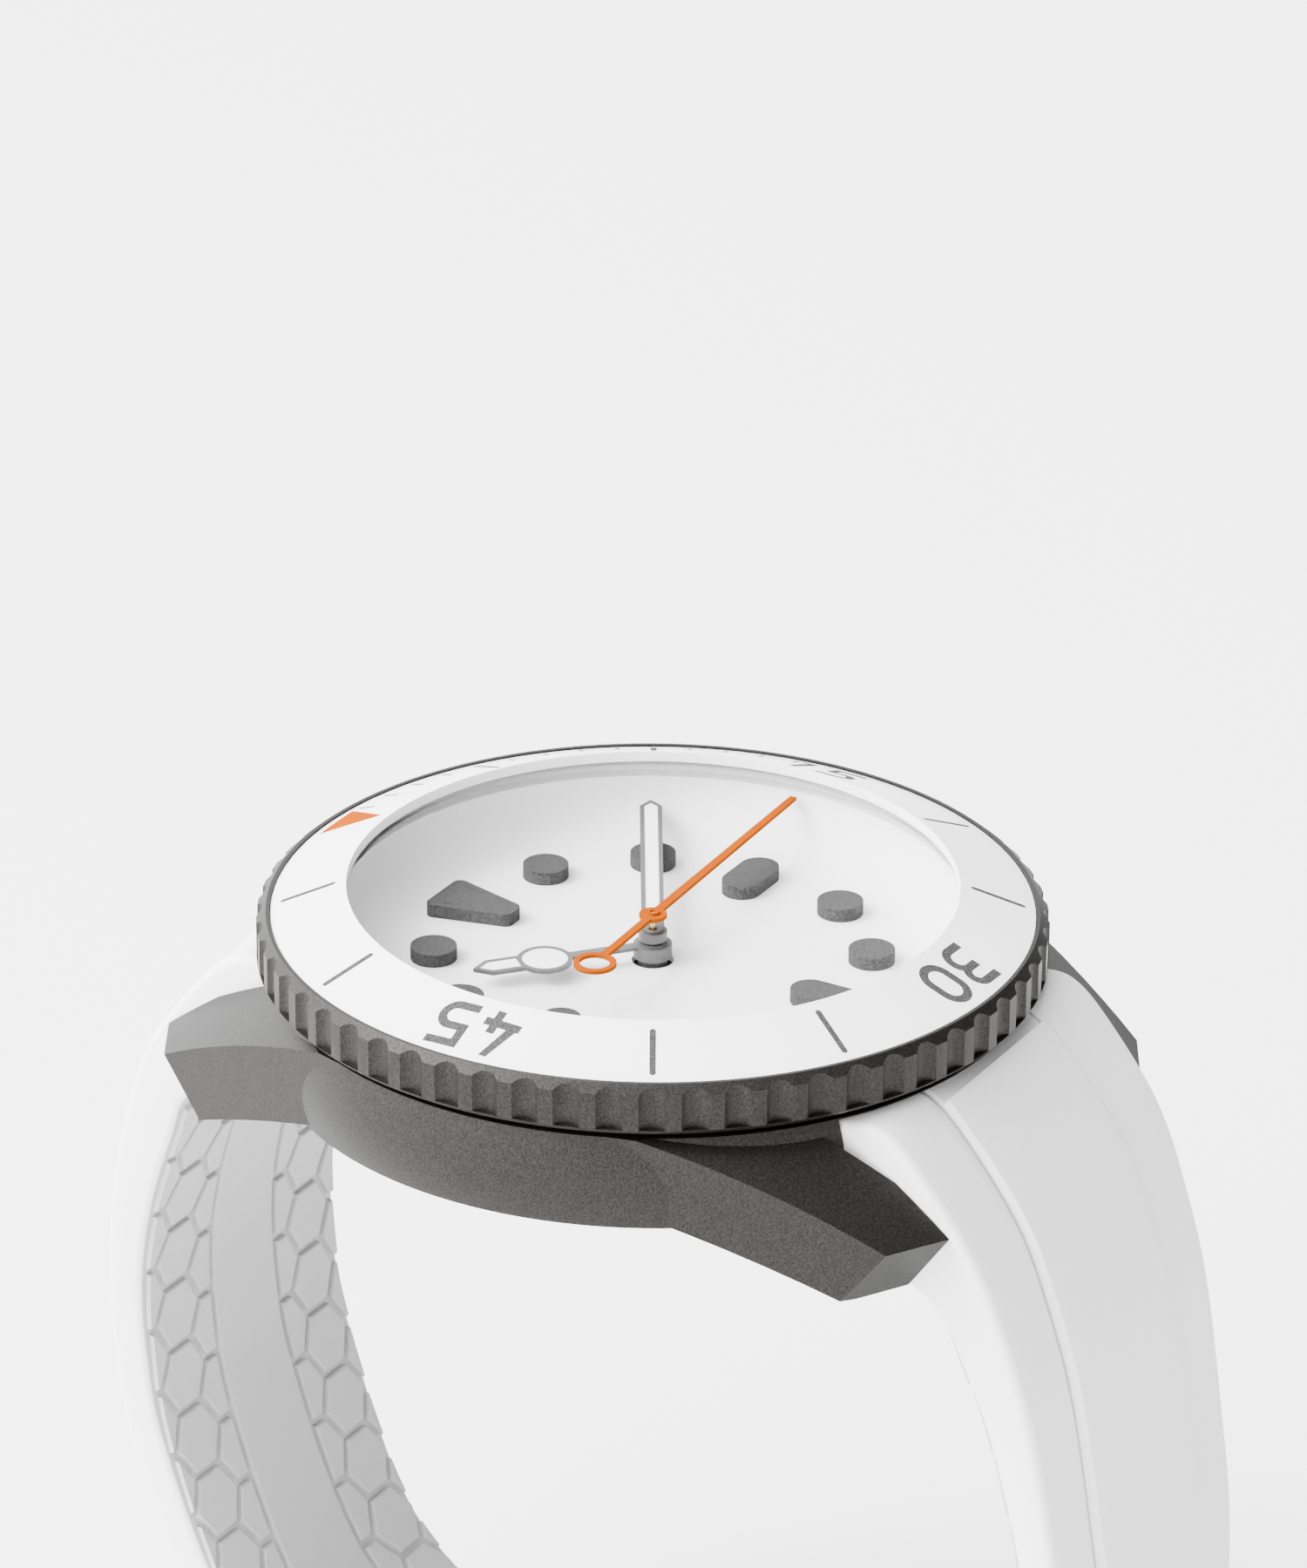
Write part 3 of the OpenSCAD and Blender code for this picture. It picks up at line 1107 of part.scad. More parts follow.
module buckle_frame() color([0.45, 0.44, 0.43]) difference() {
    union() {
        // Side rails, curved along the strap
        for (s = [-1, 1]) along_x(s > 0 ? frame_in : -frame_out, s > 0 ? frame_out : -frame_in) {
            translate([buckle_bar_y, buckle_bar_z]) circle(r = 1.5, $fn = mid_fn);
            polygon([[buckle_bar_y, buckle_bar_z + 1.5], [buckle_bar_y, buckle_bar_z - 1.5],
                [buckle_bar_y - 3, 0], [front_bar_y - front_bar_w / 2, 0],
                [front_bar_y - front_bar_w / 2, front_bar_h], [buckle_bar_y - 4, front_bar_h + 2.2]]);
        }
        along_x(-frame_out, frame_out) translate([front_bar_y - front_bar_w / 2, 0])
            square([front_bar_w, front_bar_h]);
    }
    bar_bore_short(buckle_bar_y, buckle_bar_z, 0.5);
    // Rest for the tongue's tip
    translate([-tongue_w / 2 - 0.2, front_bar_y - 5, -1]) cube([tongue_w + 0.4, 10, 1 + tongue_t + 0.15]);
}
module bar_bore_short(y, z, r) {
    translate([-frame_in - 1, y, z]) rotate([0, 90, 0]) cylinder(r = r, h = 2 * frame_in + 2, $fn = small_fn);
}
module buckle_tongue() color([0.6, 0.6, 0.6]) difference() {
    union() {
        translate([0.05 - tongue_w / 2, buckle_bar_y, buckle_bar_z]) rotate([0, 90, 0])
            cylinder(r = 1.25, h = tongue_w - 0.1, $fn = mid_fn);
        // Over the strap, down through its slot and out under the front bar
        along_x(-tongue_w / 2, tongue_w / 2)
        polygon([[buckle_bar_y, buckle_bar_z + 1.2], [buckle_bar_y - 1, tongue_z],
            [slot_y + 0.9, tongue_z], [slot_y - 0.1, 0.5], [slot_y - 0.7, 0.1],
            [front_bar_y - front_bar_w / 2 - 0.1, 0.1], [front_bar_y - front_bar_w / 2 - 0.1, 0.8 * tongue_t],
            [slot_y - 1, 0.1 + tongue_t], [slot_y + 0.1, tongue_z + tongue_t], [slot_y + 1.2,
                tongue_z + tongue_t]]);
    }
    bar_bore(buckle_bar_y, buckle_bar_z, buckle_bar_r + bar_clear);
}

mid_case();
case_back();
case_back_gasket();
crystal();
crystal_gasket();
bezel_ring();
bezel_insert();
bezel_numerals();
bezel_triangle();
bezel_click_spring();
dial();
hour_markers();
hour_hand();
hour_hand_lume();
minute_hand();
minute_hand_lume();
seconds_hand();
crown();
crown_tube();
crown_gasket();
winding_stem();
movement_holder();
main_plate();
barrel_drum();
mainspring();
barrel_arbor();
ratchet_wheel();
barrel_bridge();
train_bridge();
centre_wheel();
third_wheel();
fourth_wheel();
escape_wheel();
pallet_fork();
pallet_bridge();
balance_wheel();
hairspring();
balance_cock();
cannon_pinion();
minute_wheel();
hour_wheel();
winding_pinion();
sliding_pinion();
crown_wheel();
rotor();
rotor_bearing();
reversing_wheel();
jewels();
bridge_screws();
lug_spring_bars();
strap_short();
strap_long();
strap_fixed_keeper();
strap_free_keeper();
buckle_frame();
buckle_tongue();
buckle_spring_bar();
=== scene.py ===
"""Dive watch: finishes, strap detail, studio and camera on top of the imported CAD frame."""
import bpy
import bmesh
import json
import math
from mathutils import Matrix, Vector


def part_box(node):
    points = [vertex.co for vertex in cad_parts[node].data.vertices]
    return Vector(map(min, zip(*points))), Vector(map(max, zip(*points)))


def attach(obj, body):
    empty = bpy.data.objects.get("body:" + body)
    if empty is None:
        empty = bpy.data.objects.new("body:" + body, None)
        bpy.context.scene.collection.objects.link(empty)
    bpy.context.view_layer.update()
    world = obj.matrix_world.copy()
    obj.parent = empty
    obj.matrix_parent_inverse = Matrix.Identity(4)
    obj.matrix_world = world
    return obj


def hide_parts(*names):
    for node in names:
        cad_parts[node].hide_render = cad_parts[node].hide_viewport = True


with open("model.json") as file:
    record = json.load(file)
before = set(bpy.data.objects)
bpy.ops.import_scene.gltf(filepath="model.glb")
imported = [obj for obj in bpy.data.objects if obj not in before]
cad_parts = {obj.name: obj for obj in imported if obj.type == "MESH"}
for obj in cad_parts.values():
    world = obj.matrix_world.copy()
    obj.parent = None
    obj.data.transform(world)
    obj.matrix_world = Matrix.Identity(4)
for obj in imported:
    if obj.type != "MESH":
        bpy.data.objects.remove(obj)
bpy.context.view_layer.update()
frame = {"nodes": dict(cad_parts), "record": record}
nodes = frame["nodes"]

MM = 0.001

# ---- Places read from the frame, in mm ----


def cad_mm(node):
    low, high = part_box(node)
    return [v / MM for v in low], [v / MM for v in high]


insert_low, insert_high = cad_mm("bezel_insert")
bars_low, bars_high = cad_mm("lug_spring_bars")
short_low, short_high = cad_mm("strap_short")
INSERT_SLOPE = 0.393
INSERT_IN_R = 16.62
MARK_OUT_R = 20.19
HEAD_Z = insert_high[2] - (MARK_OUT_R - INSERT_IN_R) * INSERT_SLOPE
BAR_Z = (bars_low[2] + bars_high[2]) / 2
BAR_Y = (bars_high[1] - bars_low[1]) / 2 - (bars_high[2] - bars_low[2]) / 2
STRAP_TOP_HALF_W = short_high[0]

# ---- Materials ----


def principled(name, color, rough, metal=0.0, coat=0.0):
    mat = bpy.data.materials.new(name)
    mat.use_nodes = True
    shader = mat.node_tree.nodes["Principled BSDF"]
    shader.inputs["Base Color"].default_value = (*color, 1)
    shader.inputs["Roughness"].default_value = rough
    shader.inputs["Metallic"].default_value = metal
    shader.inputs["Coat Weight"].default_value = coat
    return mat, shader


def add_noise(mat, scale, detail=4.0):
    tree = mat.node_tree
    coords = tree.nodes.new("ShaderNodeTexCoord")
    noise = tree.nodes.new("ShaderNodeTexNoise")
    noise.inputs["Scale"].default_value = scale
    noise.inputs["Detail"].default_value = detail
    tree.links.new(coords.outputs["Object"], noise.inputs["Vector"])
    return noise


def vary_color(mat, shader, noise, dark, light, low=0.35, high=0.65):
    tree = mat.node_tree
    ramp = tree.nodes.new("ShaderNodeValToRGB")
    ramp.color_ramp.elements[0].position = low
    ramp.color_ramp.elements[0].color = (*dark, 1)
    ramp.color_ramp.elements[1].position = high
    ramp.color_ramp.elements[1].color = (*light, 1)
    tree.links.new(noise.outputs["Fac"], ramp.inputs["Fac"])
    tree.links.new(ramp.outputs["Color"], shader.inputs["Base Color"])


def add_bump(mat, shader, noise, strength, distance):
    tree = mat.node_tree
    bump = tree.nodes.new("ShaderNodeBump")
    bump.inputs["Strength"].default_value = strength
    bump.inputs["Distance"].default_value = distance
    tree.links.new(noise.outputs["Fac"], bump.inputs["Height"])
    tree.links.new(bump.outputs["Normal"], shader.inputs["Normal"])


def grey(v):
    return (v, v, v)


def grained(name, color, rough, metal, spread, scale, bump, distance=0.00002, coat=0.0):
    """A finish with a fine grain of lighter and darker specks."""
    mat, shader = principled(name, color, rough, metal, coat)
    noise = add_noise(mat, scale)
    dark = tuple(c * (1 - spread) for c in color)
    light = tuple(min(1.0, c * (1 + spread)) for c in color)
    vary_color(mat, shader, noise, dark, light)
    if bump:
        add_bump(mat, shader, noise, bump, distance)
    return mat


def clear_crystal():
    mat, shader = principled("clear_crystal", (0, 0, 0), 0.02)
    shader.inputs["Alpha"].default_value = 0.02
    shader.inputs["IOR"].default_value = 1.1
    return mat


# Colour, roughness, metal, spread of the grain, its scale, bump and the bump's height in metres
FINISH = {
    "case_metal": grained("bead_blasted_metal", (0.016, 0.015, 0.0143), 0.5, 0.8, 0.5, 9000, 0.35, 0.000014),
    "white_ceramic": grained("white_ceramic", grey(0.9), 0.3, 0, 0.01, 300, 0, coat=0.1),
    "grey_inlay": grained("grey_inlay", grey(0.044), 0.85, 0, 0.45, 9000, 0.3, 0.000012),
    "orange_lacquer": grained("orange_lacquer", (0.28, 0.05, 0.0), 0.6, 0, 0.04, 900, 0.05),
    "sapphire": clear_crystal(),
    "black_rubber": grained("black_rubber", grey(0.03), 0.7, 0, 0.2, 1500, 0.1),
    "white_gasket": grained("white_gasket", grey(0.85), 0.5, 0, 0.02, 900, 0.05),
    "spring_steel": grained("spring_steel", grey(0.25), 0.3, 1, 0.08, 1200, 0.05),
    "white_dial": grained("white_dial", grey(0.76), 0.7, 0, 0.01, 2500, 0.05),
    "satin_hand": grained("satin_hand", grey(0.1), 0.45, 0.6, 0.12, 2600, 0.1),
    "white_lume": grained("white_lume", grey(0.85), 0.6, 0, 0.02, 2600, 0.1),
    "nickel_plate": grained("nickel_plate", (0.3, 0.285, 0.26), 0.35, 1, 0.08, 700, 0.1),
    "gilt_brass": grained("gilt_brass", (0.75, 0.52, 0.2), 0.3, 1, 0.06, 700, 0.05),
    "blued_steel": grained("blued_steel", (0.03, 0.07, 0.28), 0.2, 1, 0.1, 700, 0.02),
    "ruby": grained("ruby", (0.45, 0.01, 0.05), 0.1, 0, 0.05, 500, 0),
    # Same white rubber made darker: painted shade for the strap's inner face, groove floor and tread
    "white_strap_painted_shade": grained("white_rubber_painted_shade", grey(0.42), 0.7, 0, 0.012, 1800, 0.12),
    "white_strap": grained("white_rubber", grey(0.8), 0.62, 0, 0.012, 1800, 0.12),
}

# Printed and lacquered pieces have almost no shine
for flat, shine in (("orange_lacquer", 0.0), ("grey_inlay", 0.12)):
    FINISH[flat].node_tree.nodes["Principled BSDF"].inputs["Specular IOR Level"].default_value = shine

SLOT_OF = {s["node"]: s["material_slot"] for s in frame["record"]["subparts"]}


def paint(obj, slot_name):
    obj.data.materials.clear()
    obj.data.materials.append(FINISH[slot_name])


for name, obj in nodes.items():
    obj.data.materials.clear()
    obj.data.materials.append(FINISH[SLOT_OF[name]])

# ---- Mesh helpers ----


def make_piece(name, verts, faces, slot_name, body="case", smooth=True, darker=()):
    mesh = bpy.data.meshes.new(name)
    mesh.from_pydata([[c * MM for c in v] for v in verts], [], faces)
    mesh.validate()
    mesh.update()
    bm = bmesh.new()
    bm.from_mesh(mesh)
    bmesh.ops.recalc_face_normals(bm, faces=bm.faces)
    bm.to_mesh(mesh)
    bm.free()
    obj = bpy.data.objects.new(name, mesh)
    bpy.context.scene.collection.objects.link(obj)
    if smooth:
        mesh.shade_smooth()
        mesh.set_sharp_from_angle(angle=math.radians(38))
    paint(obj, slot_name)
    # Faces in darker get the darker white: painted shade on the strap's inner face and groove floor
    if darker:
        mesh.materials.append(FINISH["white_strap_painted_shade"])
        for i in darker:
            mesh.polygons[i].material_index = 1
    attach(obj, body)
    return obj


def catmull(points, steps):
    """Smooth curve through points, with the same rule as the CAD outlines."""
    out = []
    for i in range(len(points) - 1):
        a = Vector(points[max(i - 1, 0)])
        b = Vector(points[i])
        c = Vector(points[i + 1])
        d = Vector(points[min(i + 2, len(points) - 1)])
        for k in range(steps):
            t = k / steps
            out.append(0.5 * (2 * b + (c - a) * t + (2 * a - 5 * b + 4 * c - d) * t * t
                              + (3 * b - a - 3 * c + d) * t ** 3))
    out.append(Vector(points[-1]))
    return out


# ---- Strap ----

STRAP_T = 2.6
TAPER_TOP = HEAD_Z - 9
TAPER_BOTTOM = 8.0
END_HALF_W = 9.2
SHORT_Z = 3.6
OVER_BAR_Z = 2.2
TREAD_H = 0.3


def rel(dy, dz):
    return (BAR_Y + dy, BAR_Z + dz)


# Outer and inner face as (distance from the dial's axis, height), as the CAD source sets them
ROOT_OUTER = [(15.4, BAR_Z + 5.7), (17.8, BAR_Z + 5.7), rel(-1.8, 5.7), rel(0.6, 3.6)]
ROOT_INNER = [(15.4, BAR_Z - 2.7), (17.2, BAR_Z - 2.7), (19.2, BAR_Z - 2.7), (21.2, BAR_Z - 2.9)]
SHORT_OUTER = [rel(4, -1.1), rel(5.7, -5.7), rel(7, -11.2), rel(7.5, -17), rel(7.3, -22.8),
               rel(6.5, -27.6), rel(4, -35), (22.8, SHORT_Z + 6), (17.8, SHORT_Z + 1.7),
               (12, SHORT_Z), (6, SHORT_Z), (-4.6, SHORT_Z)]
LONG_OUTER = [rel(3.9, -0.8), rel(6, -5.8), rel(7.4, -10.6), rel(8.7, -17.8), rel(9.6, -24),
              rel(9.8, -31), (31.3, 15.4), (28.3, 8.2), (23.4, OVER_BAR_Z + 1),
              (18.4, OVER_BAR_Z), (16, OVER_BAR_Z)]


def offset_inward(points, thick):
    """Moves a path towards the wrist by thick(i) at its point i."""
    out = []
    for i, p in enumerate(points):
        a = Vector(points[max(i - 1, 0)])
        b = Vector(points[min(i + 1, len(points) - 1)])
        t = (b - a).normalized()
        out.append(Vector(p) + thick(i) * Vector((t.y, -t.x)))
    return out


def half_width(z):
    """Half the strap's width at a height: full at the case, narrow at the buckle."""
    if z >= TAPER_TOP:
        return STRAP_TOP_HALF_W
    if z <= TAPER_BOTTOM:
        return END_HALF_W
    k = (z - TAPER_BOTTOM) / (TAPER_TOP - TAPER_BOTTOM)
    return END_HALF_W + k * (STRAP_TOP_HALF_W - END_HALF_W)


EDGE_OUT_R = 0.55
EDGE_IN_R = 0.45


def strap_section(w, t, band_w, proud):
    """Closed outline as (x, depth), depth 0 on the outer face beside the band."""
    side = [(0, -proud), (band_w * 0.5, -proud), (band_w - 0.25, -proud)]
    # A thin groove beside the raised band
    side += [(band_w - 0.05, -proud * 0.92), (band_w + 0.1, 0.12)]
    side += [(band_w + 0.34, 0.14), (band_w + 0.5, 0)]
    side += [(band_w + 1.2, 0), ((band_w + w) / 2 + 0.6, 0)]
    side += [(w - EDGE_OUT_R + EDGE_OUT_R * math.sin(a), EDGE_OUT_R - EDGE_OUT_R * math.cos(a))
             for a in [math.radians(v) for v in (0, 22, 45, 68, 90)]]
    side += [(w - EDGE_IN_R + EDGE_IN_R * math.cos(a), t - EDGE_IN_R + EDGE_IN_R * math.sin(a))
             for a in [math.radians(v) for v in (0, 30, 60, 90)]]
    side += [(w * 0.75, t), (w * 0.4, t), (0, t)]
    other = [(-x, d) for x, d in reversed(side[1:-1])]
    return side + other


# Places along the section: the groove's floor and where the inner face starts; both get the darker white,
# painted shade
GROOVE_FACE = 4
INNER_FROM = 16


def sweep(outer, inner, mirror, steps, band_w, proud_at):
    """Mesh of a strap half between its faces; mirror is -1 on the 6 o'clock side."""
    a = catmull(outer, steps)
    b = catmull(inner, steps)
    verts = []
    count = 0
    for i, (o, n) in enumerate(zip(a, b)):
        t = (n - o).length
        d = (n - o) / t
        section = strap_section(half_width(o.y), t - TREAD_H, band_w, proud_at(i / (len(a) - 1)))
        count = len(section)
        verts += [(x, mirror * (o.x + d.x * depth), o.y + d.y * depth) for x, depth in section]
    faces = []
    darker = []
    for i in range(len(a) - 1):
        for j in range(count):
            k = (j + 1) % count
            # Inner face and groove floor take the darker white: painted shade
            if INNER_FROM <= j < count - INNER_FROM or j in (GROOVE_FACE, count - 1 - GROOVE_FACE):
                darker.append(len(faces))
            faces.append((i * count + j, i * count + k, (i + 1) * count + k, (i + 1) * count + j))
    faces.append(tuple(range(count)))
    faces.append(tuple(range(len(verts) - count, len(verts))))
    return verts, faces, darker


def cut(obj, cutter):
    """Cuts one mesh piece with another and drops the cutter."""
    mod = obj.modifiers.new("cut", "BOOLEAN")
    mod.object = cutter
    mod.operation = "DIFFERENCE"
    mod.solver = "EXACT"
    depsgraph = bpy.context.evaluated_depsgraph_get()
    mesh = bpy.data.meshes.new_from_object(obj.evaluated_get(depsgraph))
    obj.modifiers.clear()
    old = obj.data
    obj.data = mesh
    bpy.data.meshes.remove(old)
    bpy.data.objects.remove(cutter)


def drum(radius, z0, z1, x=0.0, y=0.0, length=0.0, segments=96):
    """Upright cutter with a round or stadium outline, in mm."""
    bm = bmesh.new()
    points = []
    for k in range(segments):
        a = 2 * math.pi * k / segments
        stretch = math.copysign(length / 2, math.sin(a)) if length else 0
        points.append((x + radius * math.cos(a), y + radius * math.sin(a) + stretch))
    low = [bm.verts.new((px * MM, py * MM, z0 * MM)) for px, py in points]
    high = [bm.verts.new((px * MM, py * MM, z1 * MM)) for px, py in points]
    bm.faces.new(list(reversed(low)))
    bm.faces.new(high)
    for k in range(segments):
        n = (k + 1) % segments
        bm.faces.new((low[k], low[n], high[n], high[k]))
    mesh = bpy.data.meshes.new("cutter")
    bm.to_mesh(mesh)
    bm.free()
    obj = bpy.data.objects.new("cutter", mesh)
    bpy.context.scene.collection.objects.link(obj)
    return obj


BAND_HALF_W = 5.5
BAND_PROUD = 0.45
BAND_FLAT = 0.001
CASE_GAP_R = 19.1
CASE_CUT_H = 8
BUCKLE_BAR_Y = -4.6
NOSE_SLOT_R = 1.25
NOSE_SLOT_L = 4
SLOT_TOP = 12
STRAP_STEPS = 12


def thick_at(i):
    """The strap is thicker over its first two points, next to the lugs."""
    return STRAP_T + 0.9 * max(0.0, 1 - i / 2)


def band_fade(start, end):
    """Height of the raised band along the path: full between its ends."""
    def height(k):
        if k < start or k > end:
            return BAND_FLAT
        return BAND_PROUD
    return height


def strap_paths(outer_tail):
    outer = ROOT_OUTER + outer_tail
    root_n = len(ROOT_INNER) + 1
    along = offset_inward(outer, lambda i: thick_at(i - root_n))[root_n:]
    inner = ROOT_INNER + [rel(1.4, -4.3)] + [tuple(p) for p in along]
    return outer, inner


short_outer, short_inner = strap_paths(SHORT_OUTER)
verts, faces, darker = sweep(short_outer, short_inner, 1,
                             STRAP_STEPS, BAND_HALF_W, band_fade(0.17, 0.79))
strap_short = make_piece("strap_short_skin", verts, faces, "white_strap", darker=darker)
cut(strap_short, drum(CASE_GAP_R, BAR_Z - CASE_CUT_H, BAR_Z + CASE_CUT_H))
# Slot in the nose for the tongue's eye
cut(strap_short, drum(NOSE_SLOT_R, 0, SLOT_TOP, 0, BUCKLE_BAR_Y, NOSE_SLOT_L))
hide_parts("strap_short")

TAIL_Z = 1.4
TAIL_T = 2.0
SLOT_PITCH = 6.2
SLOT_Y = -11.4
SLOT_R = 1.5
SLOT_L = 0.4
long_outer, long_inner = strap_paths(LONG_OUTER)
tail_outer = [(12.5, OVER_BAR_Z), (5.6, TAIL_Z), (1.6, TAIL_Z), (-4, TAIL_Z), (-12, TAIL_Z),
              (-15.5, TAIL_Z + 0.25)]
TAIL_TOP = TAIL_Z + TAIL_T
tail_inner = [(12.6, OVER_BAR_Z + 2.5), (5.7, TAIL_TOP), (1.6, TAIL_TOP), (-4, TAIL_TOP),
              (-12, TAIL_TOP), (-15.5, TAIL_TOP + 0.1)]
verts, faces, darker = sweep(long_outer + tail_outer, long_inner + tail_inner, -1,
                             STRAP_STEPS, BAND_HALF_W, band_fade(0.12, 0.6))
strap_long = make_piece("strap_long_skin", verts, faces, "white_strap", darker=darker)
cut(strap_long, drum(CASE_GAP_R, BAR_Z - CASE_CUT_H, BAR_Z + CASE_CUT_H))
for slot_i in (0, -1):
    cut(strap_long, drum(SLOT_R, -1, SLOT_TOP, 0, SLOT_Y + slot_i * SLOT_PITCH, SLOT_L))
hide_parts("strap_long")

# ---- Hexagon tread on the strap's inner face ----

HEX_PITCH = 3.96
HEX_GAP = 0.42
PANEL_HALF_W = 3.3
# The tread starts this far below the spring bars and runs for these lengths
TREAD_DROP = 3.4
SHORT_TREAD_L = 58
LONG_TREAD_L = 56
# Plates sink this far into the face that they stand on
SINK = 0.02


class Rail:
    """The inner face as a map from (x, distance along) to a point."""

    def __init__(self, outer, inner, mirror):
        self.a = catmull(outer, STRAP_STEPS)
        self.b = catmull(inner, STRAP_STEPS)
        self.mirror = mirror
        self.s = [0.0]
        for p, q in zip(self.b, self.b[1:]):
            self.s.append(self.s[-1] + (q - p).length)

    def at(self, x, s, lift):
        i = 0
        while i < len(self.s) - 2 and self.s[i + 1] < s:
            i += 1
        k = (s - self.s[i]) / max(self.s[i + 1] - self.s[i], 1e-6)
        inner = self.b[i].lerp(self.b[i + 1], k)
        outer = self.a[i].lerp(self.a[i + 1], k)
        p = inner + (outer - inner).normalized() * (TREAD_H - lift)
        return (x, self.mirror * p.x, p.y)

    def width(self, s):
        return half_width(self.at(0, s, 0)[2])


def clip(polygon, axis, limit, keep_below):
    """Cuts a flat polygon at x or s = limit."""
    out = []
    for i, p in enumerate(polygon):
        q = polygon[(i + 1) % len(polygon)]
        p_in = (p[axis] <= limit) == keep_below
        q_in = (q[axis] <= limit) == keep_below
        if p_in:
            out.append(p)
        if p_in != q_in:
            k = (limit - p[axis]) / (q[axis] - p[axis])
            out.append((p[0] + k * (q[0] - p[0]), p[1] + k * (q[1] - p[1])))
    return out


def area(polygon):
    return 0.5 * sum(p[0] * q[1] - q[0] * p[1] for p, q in zip(polygon, polygon[1:] + polygon[:1]))


def raise_plate(rail, polygon, verts, faces):
    """Adds one low plate with a bevelled edge over a flat outline."""
    cx = sum(p[0] for p in polygon) / len(polygon)
    cs = sum(p[1] for p in polygon) / len(polygon)
    base = len(verts)
    n = len(polygon)
    for shrink, lift in ((1.0, 0.0), (0.97, TREAD_H * 0.8), (0.92, TREAD_H)):
        for x, s in polygon:
            height = lift - SINK * (lift == 0)
            verts.append(rail.at(cx + (x - cx) * shrink, cs + (s - cs) * shrink, height))
    verts.append(rail.at(cx, cs, TREAD_H))
    for ring in (0, 1):
        for i in range(n):
            k = (i + 1) % n
            low = base + ring * n
            faces.append((low + i, low + k, low + n + k, low + n + i))
    for i in range(n):
        faces.append((base + 2 * n + i, base + 2 * n + (i + 1) % n, base + 3 * n))


def dense(polygon, step=0.9):
    """Adds points along the edges, so that a plate follows the strap's curve."""
    out = []
    for p, q in zip(polygon, polygon[1:] + polygon[:1]):
        count = max(1, int(math.dist(p, q) / step))
        out += [(p[0] + (q[0] - p[0]) * k / count, p[1] + (q[1] - p[1]) * k / count)
                for k in range(count)]
    return out


def tread(rail, s0, s1):
    """Rows of hexagons on both sides of the centre panel, cut off at the strap's edges."""
    verts = []
    faces = []
    rows = int((s1 - s0) / HEX_PITCH)
    radius = (HEX_PITCH - HEX_GAP) / math.sqrt(3)
    for row in range(rows):
        for col in range(-4, 5):
            x = col * HEX_PITCH * math.sqrt(3) / 2
            s = s0 + (row + 0.5 + 0.5 * (col % 2)) * HEX_PITCH
            edge = rail.width(s) - 0.5
            hexagon = [(x + radius * math.cos(a), s + radius * math.sin(a))
                       for a in [math.radians(60 * k) for k in range(6)]]
            for low, high in ((-edge, -PANEL_HALF_W - HEX_GAP / 2), (PANEL_HALF_W + HEX_GAP / 2, edge)):
                part = clip(clip(hexagon, 0, low, False), 0, high, True)
                if len(part) > 2 and abs(area(part)) > 0.3:
                    raise_plate(rail, dense(part), verts, faces)
    return verts, faces


def centre_panel(rail, s0, s1, verts, faces):
    """The plain raised panel down the middle, as rows of quads with bevelled sides."""
    steps = int((s1 - s0) / 0.8)
    w = PANEL_HALF_W - HEX_GAP / 2
    profile = [(-w - 0.06, -SINK), (-w, TREAD_H * 0.8), (-w + 0.15, TREAD_H), (0, TREAD_H),
               (w - 0.15, TREAD_H), (w, TREAD_H * 0.8), (w + 0.06, -SINK)]
    base = len(verts)
    for i in range(steps + 1):
        s = s0 + (s1 - s0) * i / steps
        verts += [rail.at(x, s, lift) for x, lift in profile]
    count = len(profile)
    for i in range(steps):
        for j in range(count - 1):
            faces.append((base + i * count + j, base + i * count + j + 1,
                          base + (i + 1) * count + j + 1, base + (i + 1) * count + j))
    for end in (0, steps):
        faces.append(tuple(base + end * count + j for j in range(count)))


def add_tread(name, outer, inner, mirror, z_top, length):
    rail = Rail(outer, inner, mirror)
    start = next(s for s, p in zip(rail.s, rail.b) if p.y < z_top)
    end = start + length
    verts, faces = tread(rail, start, end)
    centre_panel(rail, start, end, verts, faces)
    piece = make_piece(name, verts, faces, "white_strap", smooth=False)
    # The tread gets the darker white: painted shade on the strap's inner face
    piece.data.materials[0] = FINISH["white_strap_painted_shade"]


add_tread("strap_short_tread", short_outer, short_inner, 1, BAR_Z - TREAD_DROP, SHORT_TREAD_L)
add_tread("strap_long_tread", long_outer, long_inner, -1, BAR_Z - TREAD_DROP, LONG_TREAD_L)

# ---- Studio ----

FLOOR_HALF = 3
WORLD_STRENGTH = 8.8
DIM = 0.03
KEY_AT = (-0.35, 0.45, 0.6)
KEY_SIZE = (0.35, 0.35)
KEY_WATTS = 18.0

floor_mesh = bpy.data.meshes.new("floor")
corners = [(sx * FLOOR_HALF, sy * FLOOR_HALF, 0) for sx, sy in ((-1, -1), (1, -1), (1, 1), (-1, 1))]
floor_mesh.from_pydata(corners, [], [(0, 1, 2, 3)])
floor = bpy.data.objects.new("floor", floor_mesh)
bpy.context.scene.collection.objects.link(floor)
floor_mat, floor_shader = principled("pale_floor", grey(0.9), 1.0)
floor_shader.inputs["Specular IOR Level"].default_value = 0
floor_mesh.materials.append(floor_mat)


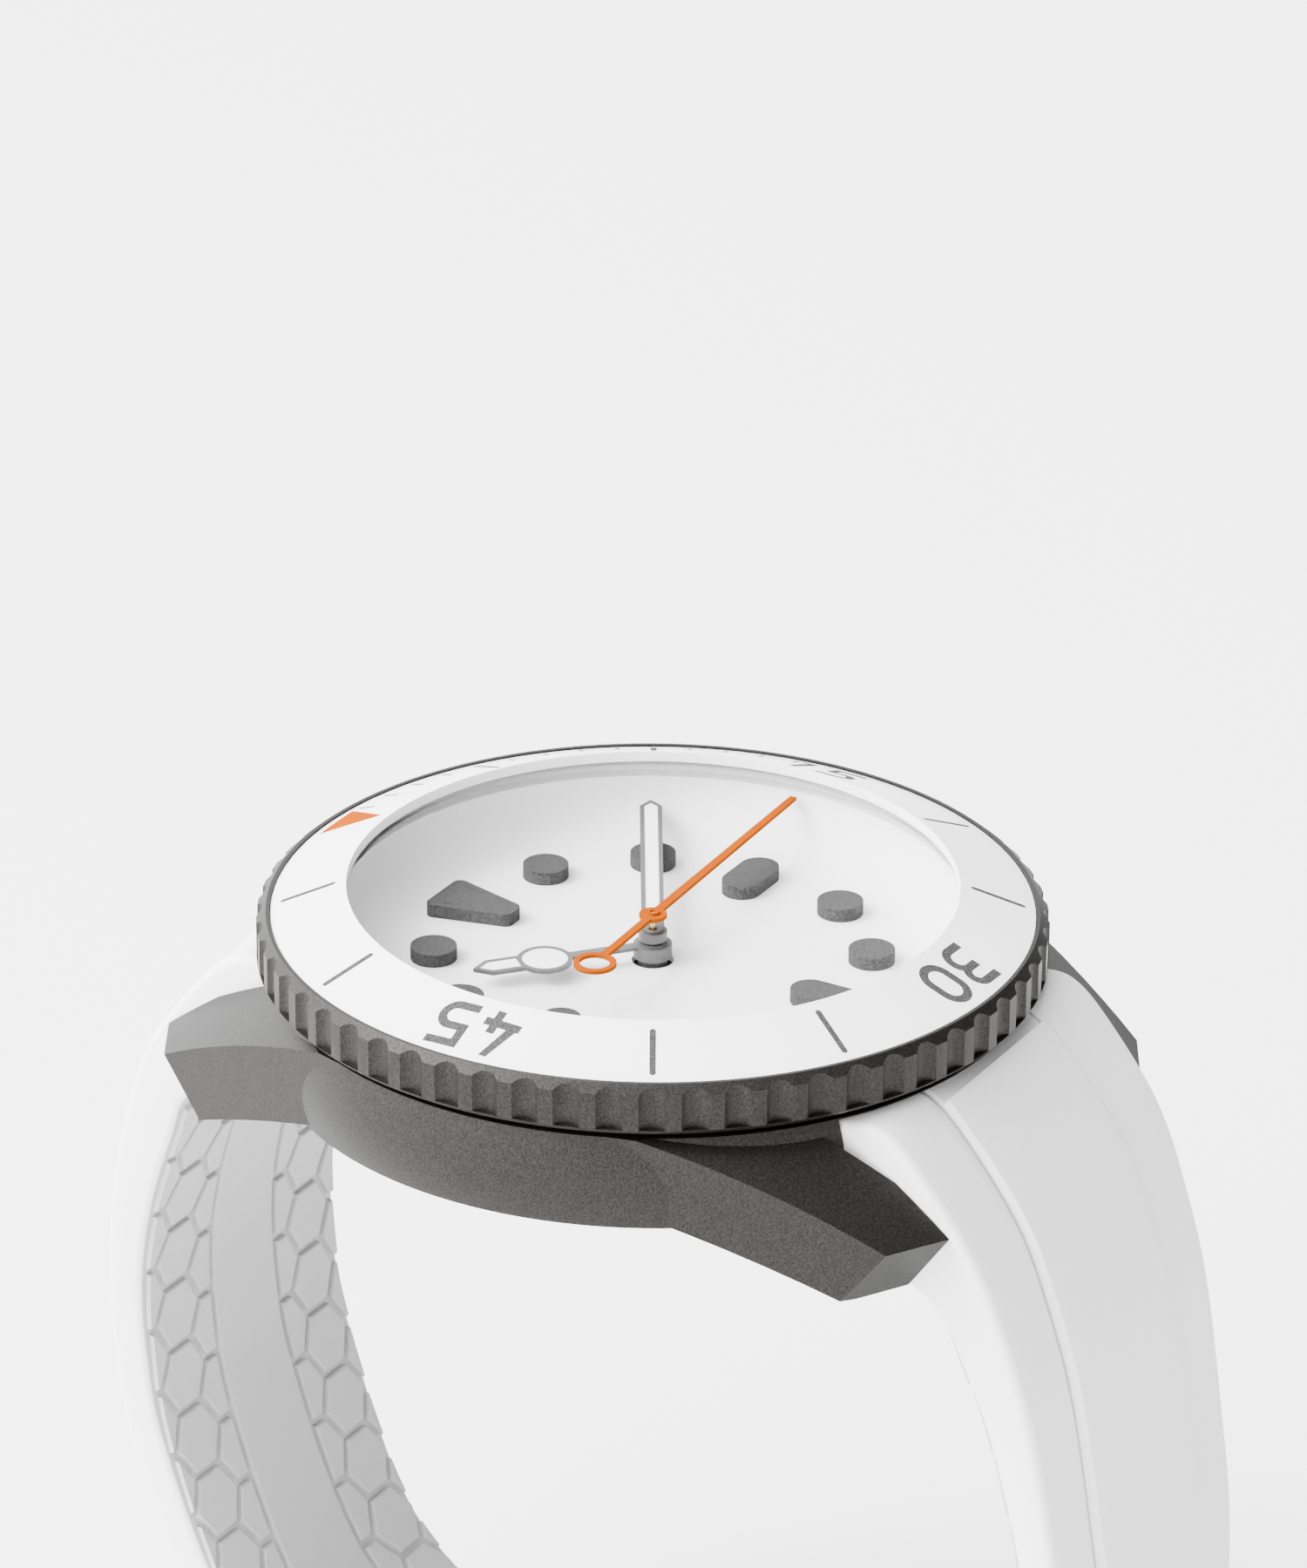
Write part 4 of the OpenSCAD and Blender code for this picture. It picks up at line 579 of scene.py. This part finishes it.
def studio_world():
    """Soft surround, bright on the left of the picture and dim on its right."""
    world = bpy.data.worlds.new("studio")
    bpy.context.scene.world = world
    world.use_nodes = True
    tree = world.node_tree
    coords = tree.nodes.new("ShaderNodeTexCoord")
    along = tree.nodes.new("ShaderNodeVectorMath")
    along.operation = "DOT_PRODUCT"
    along.inputs[1].default_value = BRIGHT_SIDE
    ramp = tree.nodes.new("ShaderNodeValToRGB")
    ramp.color_ramp.elements[0].position = 0.4
    ramp.color_ramp.elements[0].color = (*grey(DIM), 1)
    ramp.color_ramp.elements[1].position = 0.8
    ramp.color_ramp.elements[1].color = (*grey(1.0), 1)
    shift = tree.nodes.new("ShaderNodeMath")
    shift.operation = "MULTIPLY_ADD"
    shift.inputs[1].default_value = 0.5
    shift.inputs[2].default_value = 0.5
    tree.links.new(coords.outputs["Generated"], along.inputs[0])
    tree.links.new(along.outputs["Value"], shift.inputs[0])
    tree.links.new(shift.outputs["Value"], ramp.inputs["Fac"])
    tree.links.new(ramp.outputs["Color"], tree.nodes["Background"].inputs["Color"])
    tree.nodes["Background"].inputs["Strength"].default_value = WORLD_STRENGTH


def area_light(name, position, towards, size, watts):
    data = bpy.data.lights.new(name, "AREA")
    data.shape = "RECTANGLE"
    data.size, data.size_y = size
    data.energy = watts
    light = bpy.data.objects.new(name, data)
    bpy.context.scene.collection.objects.link(light)
    light.location = position
    light.rotation_euler = (Vector(towards) - Vector(position)).to_track_quat("-Z", "Y").to_euler()
    return light


# Left of the picture is -X and +Y of the dial
BRIGHT_SIDE = Vector((-0.42, 0.78, 0.22)).normalized()
studio_world()
area_light("key", KEY_AT, (0, 0, HEAD_Z * MM), KEY_SIZE, KEY_WATTS)

# ---- Camera at the photograph's viewing angle ----

AZIMUTH = math.radians(-60.13)
ELEVATION = math.radians(26.05)
ROLL = math.radians(0.478)
DISTANCE = 425.4
SENSOR_W = 36
LENS = 216.3
# The frame is shifted down, so that the strap shows under the watch head
SHIFT = (0.0003, 0.0921)

back = Vector((math.sin(AZIMUTH) * math.cos(ELEVATION),
               -math.cos(AZIMUTH) * math.cos(ELEVATION),
               math.sin(ELEVATION)))
level = Vector((math.cos(AZIMUTH), math.sin(AZIMUTH), 0))
rise = back.cross(level)
right = math.cos(ROLL) * level + math.sin(ROLL) * rise
up = -math.sin(ROLL) * level + math.cos(ROLL) * rise
camera_data = bpy.data.cameras.new("camera")
camera_data.sensor_fit = "HORIZONTAL"
camera_data.sensor_width = SENSOR_W
camera_data.lens = LENS
camera_data.shift_x, camera_data.shift_y = SHIFT
camera_data.clip_start = 0.01
camera = bpy.data.objects.new("camera", camera_data)
bpy.context.scene.collection.objects.link(camera)
camera.matrix_world = Matrix((
    (right.x, up.x, back.x, back.x * DISTANCE * MM),
    (right.y, up.y, back.y, back.y * DISTANCE * MM),
    (right.z, up.z, back.z, back.z * DISTANCE * MM + HEAD_Z * MM),
    (0, 0, 0, 1)))
bpy.context.scene.camera = camera
